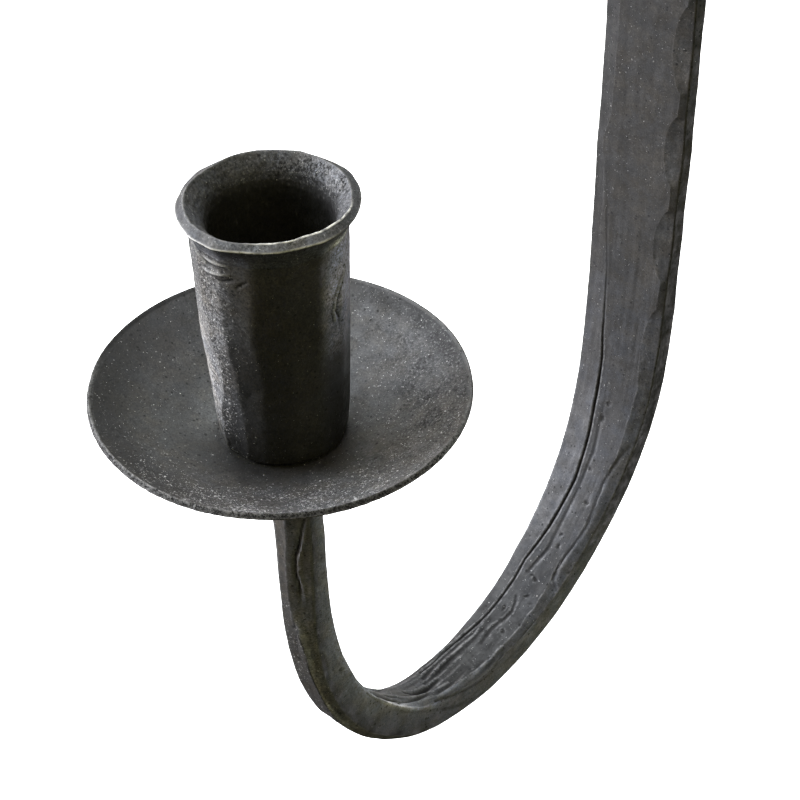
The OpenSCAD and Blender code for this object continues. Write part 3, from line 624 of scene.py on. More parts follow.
def cup_surface():
    prof = cup_profile()
    phi = np.linspace(3 * np.pi, np.pi, 440, endpoint=False)
    PHI = np.broadcast_to(phi[:, None], (len(phi), len(prof)))
    Rb = np.broadcast_to(prof[None, :, 0], PHI.shape).copy()
    Zb = np.broadcast_to(prof[None, :, 1], PHI.shape).copy()
    zone = np.broadcast_to(prof[None, :, 2], PHI.shape)
    wrap = (PHI + np.pi) % (2 * np.pi) - np.pi
    tube = tube_radius(wrap, np.clip(Zb, -9.2, 42))
    # outside: the hammered tube, rounded in at the foot
    foot_in = np.where((zone == 0) & (Zb < -7.2), Rb - 12.0, 0.0)
    R = np.where(zone == 0, tube + foot_in, Rb)
    # the flare and the lip follow their own beaten edges
    deg = np.degrees(wrap)
    inner = np.interp(deg, *np.array(LIP_INNER).T)
    outer = np.interp(deg, *np.array(LIP_OUTER).T)
    flare = (zone == 1) & (Zb <= 40.5)
    face = (zone == 1) & (Zb > 40.5)
    R = np.where(flare, tube + (outer - tube) * (Rb - 13.72) / (15.8 - 13.72), R)
    R = np.where(face, inner + (outer - inner) * (Rb - 14.3) / 1.5, R)
    R = np.where((zone == 2) & (Zb > 35), 11.0 + (inner - 11.0) * (Rb - 11.0) / 3.3, R)
    lift = smooth01((Zb - 37.5) / 3.0) * (zone <= 2)
    Z = Zb + lift * (0.02 * np.sin(5 * wrap) + 0.02 * np.sin(9 * wrap + 0.8))
    d2 = around_axis(PHI)
    P = np.stack([R * d2[..., 0], R * d2[..., 1], Z], -1)
    n = surface_normals(P, True, True)
    out = (zone <= 1).astype(float)
    S, Q = Z, wrap * R
    d = out * (-0.10 * (0.5 - np.clip(dents(S, Q, 7.5, 5.0, 71), 0, 0.5)))
    d += 0.05 * fbm(P, 5, 73, 2) + 0.028 * fbm(P, 1.7, 79, 2) + 0.014 * fbm(P, 0.7, 83, 2)
    d += (zone == 2) * 0.075 * fbm(P, 1.3, 87, 3, 0.6)
    d += (zone == 1) * smooth01((Z - 39.6) / 0.8) * 0.03 * gnoise(P, 1.2, 91)
    cut, dark, crest = carve(S, Q, CUP_MARKS)
    # rough, scaly band at the foot on the left
    foot = out * smooth01((4 - Z) / 8) * smooth01((np.cos(wrap + 1.2) + 0.3) / 0.8)
    d += foot * 0.06 * fbm(P, 1.5, 95, 2)
    d += out * np.exp(-(((deg + 68) / 32) ** 2)) * 0.045 * fbm(P, 1.0, 97, 2)
    d += out * cut
    dark = dark * out
    # painted shade: a darker band on the left side just under the lip
    dark = np.maximum(dark, 0.6 * (zone <= 1) * smooth01((-deg - 75) / 7) * smooth01((deg + 150) / 20) * smooth01((Z - 27) / 4) * smooth01((38.5 - Z) / 1.5))
    # painted light and shade on the cup: lit and shaded facets, a painted highlight on the flare and the lip's front,
    # painted shade deep in the bore, a painted light patch above a painted shadow inside at the back right, a lighter
    # right side, then random tone
    painted_light_and_tone = np.where(zone == 0, cup_painted_light(wrap, np.clip(Zb, -9, 36)), 1.0)
    painted_light_and_tone = np.where(zone == 1, 1.0 + (cup_painted_light(wrap, np.full(Zb.shape, 36.0)) - 1.0) * (1 - smooth01((Zb - 36.6) / 2)), painted_light_and_tone)
    painted_light_and_tone = np.where((zone == 1) & (Zb > 36.6) & (Zb <= 40.5), painted_light_and_tone * (1.5 + 1.0 * np.exp(-(((deg - 60) / 12) ** 2))), painted_light_and_tone)
    painted_light_and_tone = np.where(face, 0.9 + 2.3 * np.exp(-(((deg - 2) / 44) ** 2)) - 0.3 * np.exp(-(((deg + 90) / 40) ** 2)), painted_light_and_tone)
    painted_light_and_tone = np.where(zone == 2, 0.30 + 1.0 * smooth01((Zb - 36.8) / 2.4), painted_light_and_tone)
    patch = np.exp(-((((deg - 128 + 180) % 360 - 180) / 42) ** 2)) * (zone == 2)
    painted_light_and_tone = painted_light_and_tone * (1 + 1.1 * patch * smooth01((Zb - 38.6) / 1.2)) * (1 - 0.75 * patch * smooth01((38.9 - Zb) / 1.2))
    painted_light_and_tone = painted_light_and_tone * (1 + 0.18 * (zone == 0) * np.exp(-(((deg - 72) / 26) ** 2)))
    painted_light_and_tone = painted_light_and_tone * np.exp(0.22 * fbm(P, 3.2, 141, 3, 0.6))
    # light lines on the lip's lower edge in front, on the lip's inner edge and on ridge crests: partly worn bare metal,
    # partly painted highlight
    worn_and_highlight = np.exp(-(((Z - 40.5) / 0.15) ** 2)) * (zone == 1) * smooth01((np.cos(wrap + np.radians(28)) - 0.10) / 0.35)
    worn_and_highlight = worn_and_highlight * smooth01(1.0 + 1.1 * gnoise(np.stack([Q / 2.4, 0 * Q, 0 * Q], -1), 1.0, 143))
    worn_and_highlight = np.maximum(worn_and_highlight, out * crest * 0.30)
    worn_and_highlight = np.maximum(worn_and_highlight, 0.85 * (zone == 1) * smooth01((Z - 41.62) / 0.08) * smooth01((np.cos(wrap - np.radians(34)) - 0.62) / 0.25)
                      * smooth01(0.8 + 0.9 * gnoise(np.stack([Q / 1.6, 0 * Q, 0 * Q], -1), 1.0, 145)))
    # painted glints: bright flecks thickest on the lit left, fewer at the front left and upper right and at the foot;
    # none deep in the bore, some near its top at the back right
    spark = np.where(zone == 0, 1.10 * np.exp(-(((deg + 74) / 26) ** 2)) * (1 - 0.25 * smooth01((Zb - 26) / 6)) + 0.62 * np.exp(-(((deg + 42) / 17) ** 2))
                     + 0.30 * np.exp(-(((deg - 62) / 22) ** 2)) * smooth01((Zb - 14) / 8) + 0.02, 0.30)
    spark = np.where((zone == 0) & (Zb < -4), np.minimum(spark, 0.5), spark)
    spark = np.where(zone == 2, -1.0 + 1.15 * smooth01((Zb - 36) / 2) + 0.4 * np.exp(-((((deg - 125 + 180) % 360 - 180) / 60) ** 2)), spark)
    warm = np.where(zone == 0, 0.45 + 0.5 * smooth01((deg + 30) / 20) * smooth01((48 - deg) / 22) - 0.45 * smooth01((deg - 34) / 20) * smooth01((120 - deg) / 30), 0.05)
    warm = np.where((zone == 2) & (Zb < 37.5), 1.0, warm)
    flat = smooth01((Zb + 9.15) / 0.8)
    P = P + n * (d * flat)[..., None]
    P[..., 2] = np.maximum(P[..., 2], -9.2)
    pitted = (zone == 2) * smooth01((Zb - 36.5) / 2) * (0.5 + 1.2 * np.exp(-((((deg - 135 + 180) % 360 - 180) / 60) ** 2)))
    return PHI, zone, P, dark, painted_light_and_tone, worn_and_highlight, spark, warm, pitted


def dish(r):
    return -9.2 + 0.009415 * np.clip(r * r - 11.6**2, 0, None)


def pan_surface():
    top = np.concatenate([np.linspace(2.2, 10.6, 9)[:-1], np.linspace(10.6, 34.05, 76)])
    prof = [(r, dish(r)) for r in top]
    # the sheet's cut edge looks up and outwards
    prof += [(34.20, 0.555), (34.29, 0.560), (34.37, 0.50), (34.50, 0.36), (34.63, 0.21), (34.76, 0.06), (34.88, -0.08), (34.96, -0.18), (34.98, -0.27), (34.90, -0.38),
             (34.75, -0.49), (34.5, -0.64)]
    under = np.concatenate([np.linspace(34.1, 11.8, 46), np.linspace(11.0, 2.2, 7)])
    for r in under:
        thick = np.interp(r, [12.5, 30, 32, 34.1], [1.6, 1.6, 1.5, 1.33])
        prof.append((r, -10.7 if r < 12.5 else max(dish(r - 0.2) - thick + 0.08, -10.7)))
    prof = np.array(prof)
    theta = np.linspace(0, 2 * np.pi, 900, endpoint=False)
    T = np.broadcast_to(theta[:, None], (len(theta), len(prof)))
    R = np.broadcast_to(prof[None, :, 0], T.shape).copy()
    Z = np.broadcast_to(prof[None, :, 1], T.shape).copy()
    n_top = len(top)
    is_top = np.arange(len(prof))[None, :] < n_top
    deg = (np.degrees(T) - 312 + 180) % 360 - 180
    flat = np.where(deg >= 0, smooth01((deg - 55) / 32), smooth01((-deg - 84) / 26))
    fall = flat * 0.40 * np.clip((R - 26) / 8.05, 0, 1) ** 2
    bevel = (R > 34.1) & (R < 34.9) & (Z > -0.1)
    rim = smooth01((R - 34.15) / 0.15) * (Z > -0.5) * (1 - flat)
    Z = np.where(bevel, (1 - flat) * Z + flat * np.minimum(0.06 + 0.42 * (R - 34.05), 0.30), Z - fall * (is_top | ((Z < -0.6) & (R < 34.3))))
    R = np.where(bevel, R + 0.40 * (34.95 - R) * np.exp(-(((deg + 92) / 26) ** 2)), R)
    P = np.stack([R * np.cos(T), R * np.sin(T), Z], -1)
    # the sheet as a whole is slightly uneven: top and underside move together
    low = 0.16 * fbm(np.stack([P[..., 0], P[..., 1], 0 * Z], -1), 26, 101, 2) * smooth01((R - 13) / 6)
    P[..., 2] += low
    n = surface_normals(P, True, False)
    d = 0.018 * fbm(P, 3.0, 103, 2) + 0.012 * fbm(P, 1.0, 107, 2)
    d += rim * (0.05 * fbm(P, 1.3, 109, 2) + 0.06 * gnoise(P, 0.6, 111))
    spot = gnoise(P, 1.15, 113)
    d += -0.05 * smooth01((spot - 0.55) / 0.25)
    dark = smooth01((spot - 0.55) / 0.3) * 0.7
    calm = smooth01((R - 11.3) / 1.2)
    P = P + n * (d * calm)[..., None]
    rr = np.hypot(P[..., 0], P[..., 1])
    k = np.where(rr > 34.99, 34.99 / rr, 1.0)
    P[..., 0] *= k
    P[..., 1] *= k
    P[..., 2] = np.where(R < 12.0, np.where(is_top, np.minimum(P[..., 2], -9.2), np.maximum(P[..., 2], -10.7)), P[..., 2])

    def side(centre, width):
        return np.exp(-((((deg - centre + 180) % 360 - 180) / width) ** 2))

    # painted light and shade on the pan's top: painted shadow round the cup's foot in front and at the back right,
    # darker towards the rim on the left, front left and back right, lighter near the foot on the left and towards the
    # rim in front right
    up = is_top.astype(float)
    tone = 1 - 0.85 * up * side(-18, 60) * (1 - smooth01((R - 13.5) / 9))
    tone = tone * (1 - 0.85 * up * side(122, 38) * (1 - smooth01((R - 13.0) / 3.5)))
    tone = tone * (1 - 0.70 * up * side(-100, 48) * smooth01((R - 24) / 8))
    tone = tone * (1 - 0.90 * up * side(130, 40) * smooth01((R - 30.0) / 2.6))
    tone = tone * (1 - 0.45 * up * side(-50, 30) * smooth01((R - 26) / 5))
    tone = tone * (1 + 0.7 * up * side(-105, 35) * (1 - smooth01((R - 14) / 6)))
    tone = tone * (1 + 0.18 * up * side(22, 55) * smooth01((R - 22) / 9)) * (1 - 0.35 * up * side(-35, 24) * smooth01((R - 24) / 6))
    tone = tone * (1 - 0.2 * up * side(-80, 50) * smooth01((R - 14) / 5))
    # painted glints: bright flecks thickest on the front slope towards the rim and at the front left, fewest on the
    # left, with random variation
    spark = 0.10 - 0.06 * side(-90, 60) + 0.44 * side(10, 50) * smooth01((R - 14) / 13) + 0.20 * side(-30, 42) * smooth01((R - 18) / 10) + 0.12 * side(110, 60)
    spark = spark * (1 + 0.4 * gnoise(P, 6.0, 151)) * up
    # a dark line inside the rim's cut edge on the left
    dark = np.maximum(dark, up * side(-75, 70) * 0.8 * smooth01((R - 33.75) / 0.2) * (1 - flat))
    # painted light on the rim's cut edge: light chips where the edge is lit, most at the front left and the right,
    # fewer at the very edge, with a painted highlight line along its top at the front left
    rim_light_and_chips = (0.10 + 0.50 * side(-55, 40) + 0.30 * side(-10, 30)) * (1 - 0.45 * smooth01((R - 34.45) / 0.3)) + 0.40 * side(62, 26)
    rim_light_and_chips = rim_light_and_chips + 1.0 * np.exp(-(((R - 34.28) / 0.10) ** 2)) * side(-36, 32)
    # painted shade: the rim's edge darkened at the back where it is drawn flat, and inside the edge at the back left
    left = side(-125, 45)
    dark = np.maximum(dark, flat * (Z > -0.5) * np.maximum(0.75 * smooth01((R - 34.5) / 0.25) * (1 - left), 0.95 * left * smooth01((R - 33.9) / 0.2)))
    pitted = up * (side(92, 52) * smooth01((R - 17 - 4 * gnoise(P, 7.0, 157)) / 10) + 0.25 * side(20, 60) * smooth01((R - 20) / 6)) * smooth01((34.0 - R) / 0.5)
    return T, P, dark * calm, rim, tone, spark, rim_light_and_chips, pitted


# ------------------------------------------------------------------ meshes
def grid_quads(ni, nj, wrap_i, wrap_j):
    i = np.arange(ni if wrap_i else ni - 1)
    j = np.arange(nj if wrap_j else nj - 1)
    I, J = np.meshgrid(i, j, indexing="ij")
    I2, J2 = (I + 1) % ni, (J + 1) % nj
    return np.stack([I * nj + J, I * nj + J2, I2 * nj + J2, I2 * nj + J], -1).reshape(-1, 4)


def make_mesh(name, verts, quads, tris=None, values=None, sharp=48.0):
    """A smooth-shaded mesh object from arrays, with named float values on its points."""
    mesh = bpy.data.meshes.new(name)
    mesh.vertices.add(len(verts))
    mesh.vertices.foreach_set("co", np.asarray(verts, np.float32).ravel())
    tris = np.zeros((0, 3), int) if tris is None or not len(tris) else np.asarray(tris, int)
    loops = np.concatenate([quads.ravel(), tris.ravel()]).astype(np.int32)
    starts = np.concatenate([np.arange(len(quads)) * 4, len(quads) * 4 + np.arange(len(tris)) * 3]).astype(np.int32)
    mesh.loops.add(len(loops))
    mesh.loops.foreach_set("vertex_index", loops)
    mesh.polygons.add(len(starts))
    mesh.polygons.foreach_set("loop_start", starts)
    mesh.polygons.foreach_set("use_smooth", np.ones(len(starts), bool))
    mesh.update(calc_edges=True)
    for key, val in (values or {}).items():
        mesh.attributes.new(name=key, type="FLOAT", domain="POINT").data.foreach_set("value", np.asarray(val, np.float32).ravel())
    mesh.validate()
    mesh.set_sharp_from_angle(angle=math.radians(sharp))
    ob = bpy.data.objects.new(name, mesh)
    bpy.context.scene.collection.objects.link(ob)
    return ob


def wear_and_shade_weights(P, wrap_i, wrap_j, scale=1.0):
    """Two weights from the shape itself: how sharp and proud a point is (used for edge wear), and how sunk it is (used
    for painted shade in hollows).
    """
    n = surface_normals(P, wrap_i, wrap_j)

    def second(axis, wrap):
        a, b = (np.roll(P, -1, axis), np.roll(P, 1, axis))
        if not wrap:
            sl = [slice(None)] * 3
            sl[axis] = slice(-1, None)
            a[tuple(sl)] = P[tuple(sl)]
            sl[axis] = slice(0, 1)
            b[tuple(sl)] = P[tuple(sl)]
        h = 0.5 * (np.linalg.norm(a - P, axis=2) + np.linalg.norm(b - P, axis=2)) + 1e-6
        return ((a + b - 2 * P) * n).sum(-1) / (h * h)

    c = second(0, wrap_i) + second(1, wrap_j)
    for _ in range(2):
        c = 0.5 * c + 0.125 * (np.roll(c, 1, 0) + np.roll(c, -1, 0) + np.roll(c, 1, 1) + np.roll(c, -1, 1))
    c = c * scale
    return smooth01((-c - 0.12) / 0.9), smooth01((c - 0.10) / 0.8)


def lathe_cutter(name, profile, axis, at, n=72):
    """Closed turned solid, profile of (radius, along) with its ends on the axis."""
    prof = np.array(profile, float)
    a = np.linspace(0, 2 * np.pi, n, endpoint=False)
    rings = [np.stack([r * np.cos(a), r * np.sin(a), np.full(n, h)], -1) for r, h in prof]
    V = np.concatenate(rings + [[[0, 0, prof[0, 1]]], [[0, 0, prof[-1, 1]]]])
    m = len(prof)
    quads = [[k * n + j, k * n + (j + 1) % n, (k + 1) * n + (j + 1) % n, (k + 1) * n + j] for k in range(m - 1) for j in range(n)]
    lo, hi = m * n, m * n + 1
    tris = [[lo, (j + 1) % n, j] for j in range(n)] + [[hi, (m - 1) * n + j, (m - 1) * n + (j + 1) % n] for j in range(n)]
    if axis == "y":
        V = np.stack([V[:, 0], V[:, 2], -V[:, 1]], -1)
    V = V + np.array(at, float)
    return make_mesh(name, to_frame(V), np.array(quads), np.array(tris))


def cut(ob, cutters):
    for c in cutters:
        mod = ob.modifiers.new("hole", "BOOLEAN")
        mod.operation, mod.object, mod.solver = "DIFFERENCE", c, "EXACT"
    bpy.context.view_layer.update()
    done = bpy.data.meshes.new_from_object(ob.evaluated_get(bpy.context.evaluated_depsgraph_get()))
    ob.modifiers.clear()
    old, ob.data = ob.data, done
    name = old.name
    bpy.data.meshes.remove(old)
    ob.data.name = name
    for c in cutters:
        me = c.data
        bpy.data.objects.remove(c)
        bpy.data.meshes.remove(me)


def build_arm():
    S, Q, P, dark, tone, warm = arm_surface()
    ni, nj = S.shape
    proud, sunk = wear_and_shade_weights(P, False, True)
    quads = grid_quads(ni, nj, False, True)
    verts, tris, extra = [to_frame(P)], [], []
    # head under the pan: rings down to the middle
    head = P[0].copy()
    mid = head.mean(axis=0)
    base, last, count = ni * nj, 0, ni * nj
    rings = []
    for f in (0.82, 0.62, 0.4, 0.18):
        rings.append(mid + (head - mid) * f)
    first = np.arange(nj)
    prev = first
    for r in rings:
        verts.append(to_frame(r))
        now = np.arange(count, count + nj)
        nxt = np.roll(now, -1)
        quads = np.vstack([quads, np.stack([prev, now, nxt, np.roll(prev, -1)], -1)])
        prev, count = now, count + nj
    verts.append(to_frame(mid[None]))
    tris += [[prev[j], count, prev[(j + 1) % nj]] for j in range(nj)]
    count += 1
    # top end of the bar: close the last ring from side to side
    ring = (ni - 1) * nj + np.arange(nj)
    x = P[-1, :, 0]
    lo, hi = int(np.argmin(x)), int(np.argmax(x))
    a = [(lo + k) % nj for k in range((hi - lo) % nj + 1)]
    b = [(lo - k) % nj for k in range((lo - hi) % nj + 1)]
    ia = ib = 0
    while ia < len(a) - 1 or ib < len(b) - 1:
        if ib == len(b) - 1 or (ia < len(a) - 1 and x[a[ia + 1]] <= x[b[ib + 1]]):
            if a[ia + 1] != b[ib]:
                tris.append([ring[a[ia]], ring[a[ia + 1]], ring[b[ib]]])
            ia += 1
        else:
            if b[ib + 1] != a[ia]:
                tris.append([ring[a[ia]], ring[b[ib + 1]], ring[b[ib]]])
            ib += 1
    pad = np.zeros(count - ni * nj)
    # painted glints: bright flecks, most on the stem around 60 mm, some on the back faces of the lower bend and a few
    # on the bar
    spark = 0.04 + 0.22 * np.exp(-(((S - 60) / 28) ** 2)) + 0.04 * smooth01((S - 250) / 60)
    face = np.repeat(np.arange(8), COUNT)[None, :]
    spark = spark + 0.10 * np.isin(face, (3, 4, 5, 6)) * smooth01((110 - S) / 30) * smooth01((S - 40) / 20)
    # painted cool sheen: bluish tint on the stem's right side and back right bevel
    painted_cool_sheen = np.isin(face, (2, 3)) * smooth01((165 - S) / 40) * np.where(face == 2, 0.5, 0.15)
    ob = make_mesh("forged_arm", np.minimum(np.vstack(verts), np.array(cad_box[1], float)), quads, tris, {
        "painted_shade_and_pits": np.concatenate([np.maximum(dark, 0.6 * sunk).ravel(), pad]),
        "edge": np.concatenate([(proud * (1 - 0.8 * dark) * (1 - 0.7 * smooth01((S - 215) / 30))).ravel(), pad]),
        "tone": np.concatenate([tone.ravel(), pad + 1]), "warm": np.concatenate([warm.ravel(), pad + 0.5]), "painted_cool_sheen": np.concatenate([painted_cool_sheen.ravel(), pad]),
        "spark": np.concatenate([spark.ravel(), pad]),
    })
    holes = []
    for k, z in enumerate((45.0, -45.0)):
        holes.append(lathe_cutter(f"screw_hole_{k}", [(5.6, -0.8), (4.8, 0.0), (2.5, 2.3), (2.5, 6.5)], "y", (0, 108.0, RIM_Z + z)))
    holes.append(lathe_cutter("tapped_hole", [(2.05, -18.7), (2.05, -9.7)], "z", (0, 0, 0)))
    cut(ob, holes)
    return ob


def build_cup():
    PHI, zone, P, dark, painted_light_and_tone, worn_and_highlight, spark, warm, pitted = cup_surface()
    ni, nj = zone.shape
    proud, sunk = wear_and_shade_weights(P, True, True)
    deg = np.degrees((PHI + np.pi) % (2 * np.pi) - np.pi)
    plain = smooth01((deg + 38) / 8) * smooth01((150 - deg) / 20) * (zone == 0)      # the dark front has no worn ridges
    return make_mesh("flared_cup", to_frame(P), grid_quads(ni, nj, True, True), None, {
        "painted_shade_and_pits": np.maximum(dark, 0.6 * sunk), "edge": proud * (1 - 0.8 * dark) * (1 - plain),
        "painted_light_and_tone": painted_light_and_tone, "worn_and_highlight": worn_and_highlight, "spark": spark, "warm": warm, "pitted": pitted,
        # painted cool sheen: bluish tint on the cup's right side
        "painted_cool_sheen": (zone == 0) * smooth01((deg - 36) / 16) * smooth01((110 - deg) / 30)})


def build_pan():
    T, P, dark, rim, tone, spark, rim_light_and_chips, pitted = pan_surface()
    ni, nj = T.shape
    proud, sunk = wear_and_shade_weights(P, True, False)
    quads = grid_quads(ni, nj, True, False)
    # wall of the centre hole: from the last profile point back to the first
    i = np.arange(ni)
    i2 = (i + 1) % ni
    wall = np.stack([i * nj + nj - 1, i * nj, i2 * nj, i2 * nj + nj - 1], -1)
    return make_mesh("dished_pan", to_frame(P), np.vstack([quads, wall]), None, {
        "painted_shade_and_pits": np.maximum(dark, 0.5 * sunk), "edge": proud, "rim": rim, "tone": tone, "spark": spark, "rim_light_and_chips": rim_light_and_chips, "pitted": pitted})


# ------------------------------------------------------------------ materials
class Finish:
    """Small helper for building a procedural material. All pattern sizes are in mm on the object."""

    def __init__(self, name):
        self.mat = bpy.data.materials.new(name)
        self.mat.use_nodes = True
        self.tree = self.mat.node_tree
        self.tree.nodes.clear()
        self.out = self.tree.nodes.new("ShaderNodeOutputMaterial")
        self.bsdf = self.tree.nodes.new("ShaderNodeBsdfPrincipled")
        self.tree.links.new(self.bsdf.outputs[0], self.out.inputs["Surface"])
        coord = self.tree.nodes.new("ShaderNodeTexCoord")
        self.coords = coord.outputs["Object"]

    def put(self, target, value):
        if isinstance(value, bpy.types.NodeSocket):
            self.tree.links.new(value, target)
        else:
            target.default_value = value

    def stretch(self, x=1.0, y=1.0, z=1.0):
        m = self.tree.nodes.new("ShaderNodeMapping")
        self.put(m.inputs["Vector"], self.coords)
        m.inputs["Scale"].default_value = (x, y, z)
        return m.outputs[0]

    def noise(self, size, detail=2.0, rough=0.5, vec=None, warp=0.0, offset=0.0):
        n = self.tree.nodes.new("ShaderNodeTexNoise")
        n.noise_dimensions = "4D"
        self.put(n.inputs["Vector"], vec or self.coords)
        n.inputs["W"].default_value = offset
        n.inputs["Scale"].default_value = 1000.0 / size
        n.inputs["Detail"].default_value = detail
        n.inputs["Roughness"].default_value = rough
        n.inputs["Distortion"].default_value = warp
        return n.outputs["Fac"]

    def cells(self, size, vec=None, rand=1.0):
        n = self.tree.nodes.new("ShaderNodeTexVoronoi")
        self.put(n.inputs["Vector"], vec or self.coords)
        n.inputs["Scale"].default_value = 1000.0 / size
        n.inputs["Randomness"].default_value = rand
        return n.outputs["Distance"]

    def dots(self, size, radius, share, soft=0.06, seed=(0.0, 0.0, 0.0), warp=0.0):
        """Scattered round specks: one in each cell of that size, in that share of the cells."""
        m = self.tree.nodes.new("ShaderNodeMapping")
        self.put(m.inputs["Vector"], self.coords)
        m.inputs["Location"].default_value = seed
        n = self.tree.nodes.new("ShaderNodeTexVoronoi")
        self.put(n.inputs["Vector"], m.outputs[0])
        n.inputs["Scale"].default_value = 1000.0 / size
        pick = self.tree.nodes.new("ShaderNodeSeparateColor")
        self.tree.links.new(n.outputs["Color"], pick.inputs[0])
        dist = self.math("DIVIDE", n.outputs["Distance"], self.fit(pick.outputs[1], 0.0, 1.0, 0.45, 1.25, smooth=False))
        if warp:
            dist = self.math("ADD", dist, self.math("MULTIPLY", self.math("SUBTRACT", self.noise(size * 0.6, 2, 0.6, offset=seed[0] * 100), 0.5), warp))
        inside = self.fit(dist, radius + soft, radius - soft)
        return self.math("MULTIPLY", inside, self.fit(pick.outputs[0], 1 - share - 0.001, 1 - share + 0.001, smooth=False))

    def fit(self, x, lo, hi, a=0.0, b=1.0, smooth=True):
        n = self.tree.nodes.new("ShaderNodeMapRange")
        n.interpolation_type = "SMOOTHSTEP" if smooth else "LINEAR"
        self.put(n.inputs["Value"], x)
        for k, v in zip(("From Min", "From Max", "To Min", "To Max"), (lo, hi, a, b)):
            n.inputs[k].default_value = v
        return n.outputs[0]

    def math(self, op, a, b=0.0, c=None, clamp=False):
        n = self.tree.nodes.new("ShaderNodeMath")
        n.operation, n.use_clamp = op, clamp
        self.put(n.inputs[0], a)
        self.put(n.inputs[1], b)
        if c is not None:
            self.put(n.inputs[2], c)
        return n.outputs[0]

    def mix(self, fac, a, b, mode="MIX"):
        n = self.tree.nodes.new("ShaderNodeMix")
        n.data_type, n.blend_type = "RGBA", mode
        self.put(n.inputs["Factor"], fac)
        for k, v in ((6, a), (7, b)):
            self.put(n.inputs[k], v if isinstance(v, bpy.types.NodeSocket) else (*v, 1.0) if len(v) == 3 else v)
        return n.outputs[2]

    def value(self, name):
        n = self.tree.nodes.new("ShaderNodeAttribute")
        n.attribute_name = name
        return n.outputs["Fac"]

    def times(self, col, k):
        n = self.tree.nodes.new("ShaderNodeVectorMath")
        n.operation = "SCALE"
        self.put(n.inputs[0], col)
        self.put(n.inputs["Scale"], k)
        return n.outputs[0]

    def bump(self, layers):
        """Chain of (height, strength, distance in mm)."""
        normal = None
        for h, strength, dist in layers:
            n = self.tree.nodes.new("ShaderNodeBump")
            self.put(n.inputs["Height"], h)
            n.inputs["Strength"].default_value = strength
            n.inputs["Distance"].default_value = dist / 1000.0
            if normal is not None:
                self.put(n.inputs["Normal"], normal)
            normal = n.outputs[0]
        self.put(self.bsdf.inputs["Normal"], normal)


